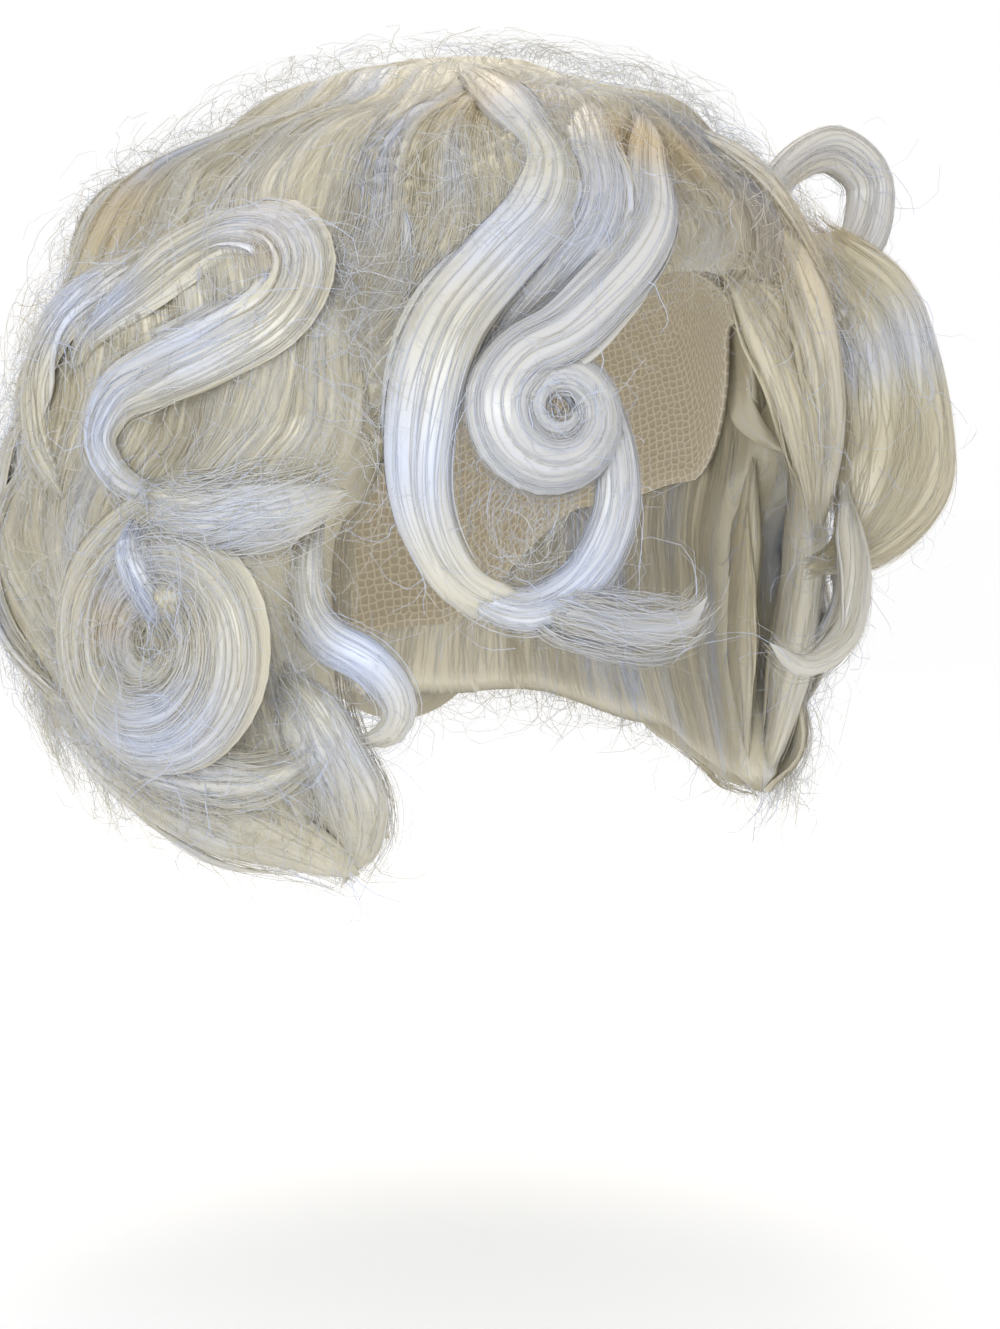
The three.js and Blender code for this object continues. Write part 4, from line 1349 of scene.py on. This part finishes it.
def growLoose(data, places, outs, heading, look, rng):
    count, sections = len(places), look["sections"]
    heading = unit(heading - outs * np.sum(heading * outs, 1, keepdims=True))
    aside = np.cross(outs, heading)
    share = np.linspace(0, 1, sections)[None]
    length = rng.uniform(*look["length"], (count, 1))
    rise = rng.uniform(*look["rise"], (count, 1)) * (np.sin(np.pi * 0.85 * share) ** 0.7)
    turn = rng.normal(0, 0.9, (count, 1)) * share**2
    x = length * share * np.cos(turn) + look["curl"] * wander(rng, count, sections, 1.6)
    y = length * share * np.sin(turn) + look["curl"] * wander(rng, count, sections, 1.6)
    points = places[:, None]
    for way, far in ((outs, rise), (heading, x), (aside, y)):
        points = points + way[:, None] * far[..., None]
    facing = unit(outs[:, None] + 1.2 * rng.standard_normal((count, 1, 3))) + 0 * points
    width = look["fibre"] * rng.uniform(0.6, 1.3, (count, 1)) * (1 - 0.5 * share)
    tone = np.clip(look["tone"] + 0.12 * rng.standard_normal((count, 1)), 0, 1)
    gold = np.clip(looseFibres["gold"] * rng.standard_normal((count, 1)), 0, 1)
    addRibbons(data, points, facing, width, tone, gold)


def addLoose(data, look, rng):
    count = look["count"]
    if "bearings" in look:
        bearing = rng.uniform(*look["bearings"], count) * rng.choice([-1, 1], count)
    else:
        tries = rng.uniform(-180, 180, 4 * count)
        front = np.abs(tries) < hairForm["frontEdge"]
        room = np.where(front, arcLength("frontOuter", tries), arcLength("sideOuter", tries))
        bearing = tries[rng.random(4 * count) < room / looseFibres["mostRoom"]][:count]
        count = len(bearing)
    front = np.abs(bearing) < hairForm["frontEdge"]
    places, outs = np.zeros((count, 3)), np.zeros((count, 3))
    for name, mask in (("frontOuter", front), ("sideOuter", ~front)):
        share = rng.uniform(*look["down"], mask.sum()) if "down" in look else np.sqrt(rng.random(mask.sum()))
        arc = (arcLength(name, bearing[mask]) - 3) * share
        places[mask], outs[mask] = onSurface(name, bearing[mask], arc, looseFibres["lift"])
    places = places + outs * swell(places)
    heading = rng.standard_normal((count, 3))
    if "toward" in look:  # shares of the way to the front and of the way down
        turn = np.radians(bearing)
        ahead = np.stack([np.cos(turn), np.sin(turn), 0 * turn], -1) * -np.sign(bearing)[:, None]
        heading = 0.5 * heading + look["toward"][0] * ahead - look["toward"][1] * np.array([0, 0, 1])
    growLoose(data, places, outs, heading, look, rng)


def addLockFrizz(data, look, row, rng):  # short fibres that spring from the skin of a lock
    path, wide, deep, share = lockPath(row)
    halfWide, halfThick = lockSize(row, share)
    length = np.linalg.norm(np.diff(path, axis=0), axis=1).sum()
    count = int(look["forArea"] * length * row["width"])
    where = rng.integers(1, len(path) - 1, count)
    angle = np.pi * rng.uniform(0.15, 0.85, count) + np.pi * (not row.get("ridge")) * rng.integers(0, 2, count)
    x, y = np.cos(angle)[:, None], np.sin(angle)[:, None]
    wide, deep = wide[where], deep[where]
    wideHere, thickHere = halfWide[where][:, None], halfThick[where][:, None]
    places = path[where] + wide * x * wideHere + deep * y * thickHere * 0.95
    outs = unit(wide * x / np.maximum(wideHere, 1) + deep * y / np.maximum(thickHere, 1))
    heading = unit(np.gradient(path, axis=0))[where] + 0.8 * rng.standard_normal((count, 3))
    growLoose(data, places, outs, heading, look, rng)


def makeLooseFibres(spec):
    rng = np.random.default_rng(spec["seed"])
    data = newMeshData()
    for kind in ("frizz", "fuzz", "hem", "frontEdges"):
        addLoose(data, spec[kind], rng)
    for node in ("fringe_right", "fringe_left", "side_right", "side_left", "back_hair"):
        for row in zoneLocks[node]:
            if not row.get("bare"):
                addLockFrizz(data, spec["onLocks"], row, rng)
    makePiece("loose_fibres", data, hairMaterials)


makeLooseFibres(looseFibres)

# cap: a thin net wall

netLook = {
    "thread": (0.8, 0.74, 0.6),
    "hole": (0.55, 0.48, 0.355),
    "threadShare": 0.16,
    "meshes": 46,  # for each 100 mm
    "uneven": 0.4,
    "bump": 0.6,
    "relief": 0.0005,
    "roughness": (0.75, 0.95),
    "sheen": 0.2,
}


def capWall(grow):  # one column of places for each bearing, from the crown to the edge
    bearing = np.linspace(-180, 180, capForm["columns"], endpoint=False)[:, None]
    edgeDrop = fromTable(capForm["edge"], bearing, 1)
    crownHeight = capForm["crownHeight"]
    share = np.linspace(0.004, 1, capForm["rows"])[None]
    bend = np.arccos((crownHeight - edgeDrop) / (crownHeight + grow)) * share
    drop = crownHeight - (crownHeight + grow) * np.cos(bend)
    return at(bearing + 0 * drop, drop, hollowReach(bearing, drop, grow))


def netMaterial(look):
    material, tree, shader = newMaterial("capNet")
    meshes = {
        "Vector": addNode(tree, "ShaderNodeUVMap", uv_map="flow").outputs["UV"],
        "Scale": look["meshes"],
        "Randomness": look["uneven"],
    }
    kind = {"voronoi_dimensions": "2D", "feature": "DISTANCE_TO_EDGE"}
    net = addNode(tree, "ShaderNodeTexVoronoi", meshes, **kind).outputs["Distance"]
    raised = {"Strength": look["bump"], "Distance": look["relief"], "Height": net}
    feed(tree, shader, {
        "Base Color": colourRamp(tree, net, [(0, look["thread"]), (look["threadShare"], look["hole"])]),
        "Normal": addNode(tree, "ShaderNodeBump", raised, invert=True).outputs["Normal"],
        "Roughness": spread(tree, net, look["roughness"]),
        "Sheen Weight": look["sheen"],
    })
    return material


def makeCap():
    data = newMeshData()
    outer, inner = capWall(capForm["wall"]), capWall(0)[:, ::-1]
    points = np.concatenate([outer, inner], 1)
    middle = np.array([0, 0, -capForm["crownHeight"]])
    addSheet(data, points, True, np.concatenate([outer - middle, middle - inner], 1), 0.3)
    makePiece("cap_net_wall", data, [netMaterial(netLook)], "cap")


makeCap()

# light, floor and finish

studio = {
    "sky": 1.0,
    "floorDrop": 0.345,
    "floorSize": 60.0,
    "floorPaint": [(0, (0.985, 0.985, 0.985)), (1, (1, 1, 1))],
    "floorGrain": 40,
    "floorRoughness": (0.85, 0.95),
    "lights": [  # name, place, size, power, colour
        ("keyLight", (-0.98, -0.53, 0.12), 0.5, 4.4, (0.84, 0.92, 1.0)),
        ("warmTop", (0.35, 0.35, 0.85), 0.5, 2.4, (1.0, 0.9, 0.76)),
    ],
    "bounces": 8,
    "diffuseBounces": 5,
}


def makeFloor(spec):
    half, drop = spec["floorSize"] / 2, -spec["floorDrop"]
    corners = [(x * half, y * half, drop) for x, y in ((-1, -1), (1, -1), (1, 1), (-1, 1))]
    mesh = bpy.data.meshes.new("floor")
    mesh.from_pydata(corners, [], [(0, 1, 2, 3)])
    material, tree, shader = newMaterial("paleFloor")
    grain = addNode(tree, "ShaderNodeTexNoise", {"Scale": spec["floorGrain"]}).outputs["Fac"]
    feed(tree, shader, {
        "Base Color": colourRamp(tree, grain, spec["floorPaint"]),
        "Roughness": spread(tree, grain, spec["floorRoughness"]),
    })
    mesh.materials.append(material)
    floor = bpy.data.objects.new("floor", mesh)
    bpy.context.scene.collection.objects.link(floor)


def makeStudio(spec):
    scene = bpy.context.scene
    scene.world = bpy.data.worlds.new("studio")
    scene.world.use_nodes = True
    background = scene.world.node_tree.nodes["Background"]
    feed(scene.world.node_tree, background, {"Color": (1, 1, 1, 1), "Strength": spec["sky"]})
    target = Vector(photoView["aim"])
    for name, place, size, power, colour in spec["lights"]:
        data = bpy.data.lights.new(name, "AREA")
        data.size, data.energy, data.color = size, power, colour
        light = bpy.data.objects.new(name, data)
        light.location = place
        light.rotation_mode = "QUATERNION"
        light.rotation_quaternion = (target - Vector(place)).to_track_quat("-Z", "Y")
        scene.collection.objects.link(light)
    scene.view_settings.view_transform = "Standard"
    scene.cycles.max_bounces = spec["bounces"]
    scene.cycles.diffuse_bounces = spec["diffuseBounces"]


makeFloor(studio)
makeStudio(studio)
print("studio ready")
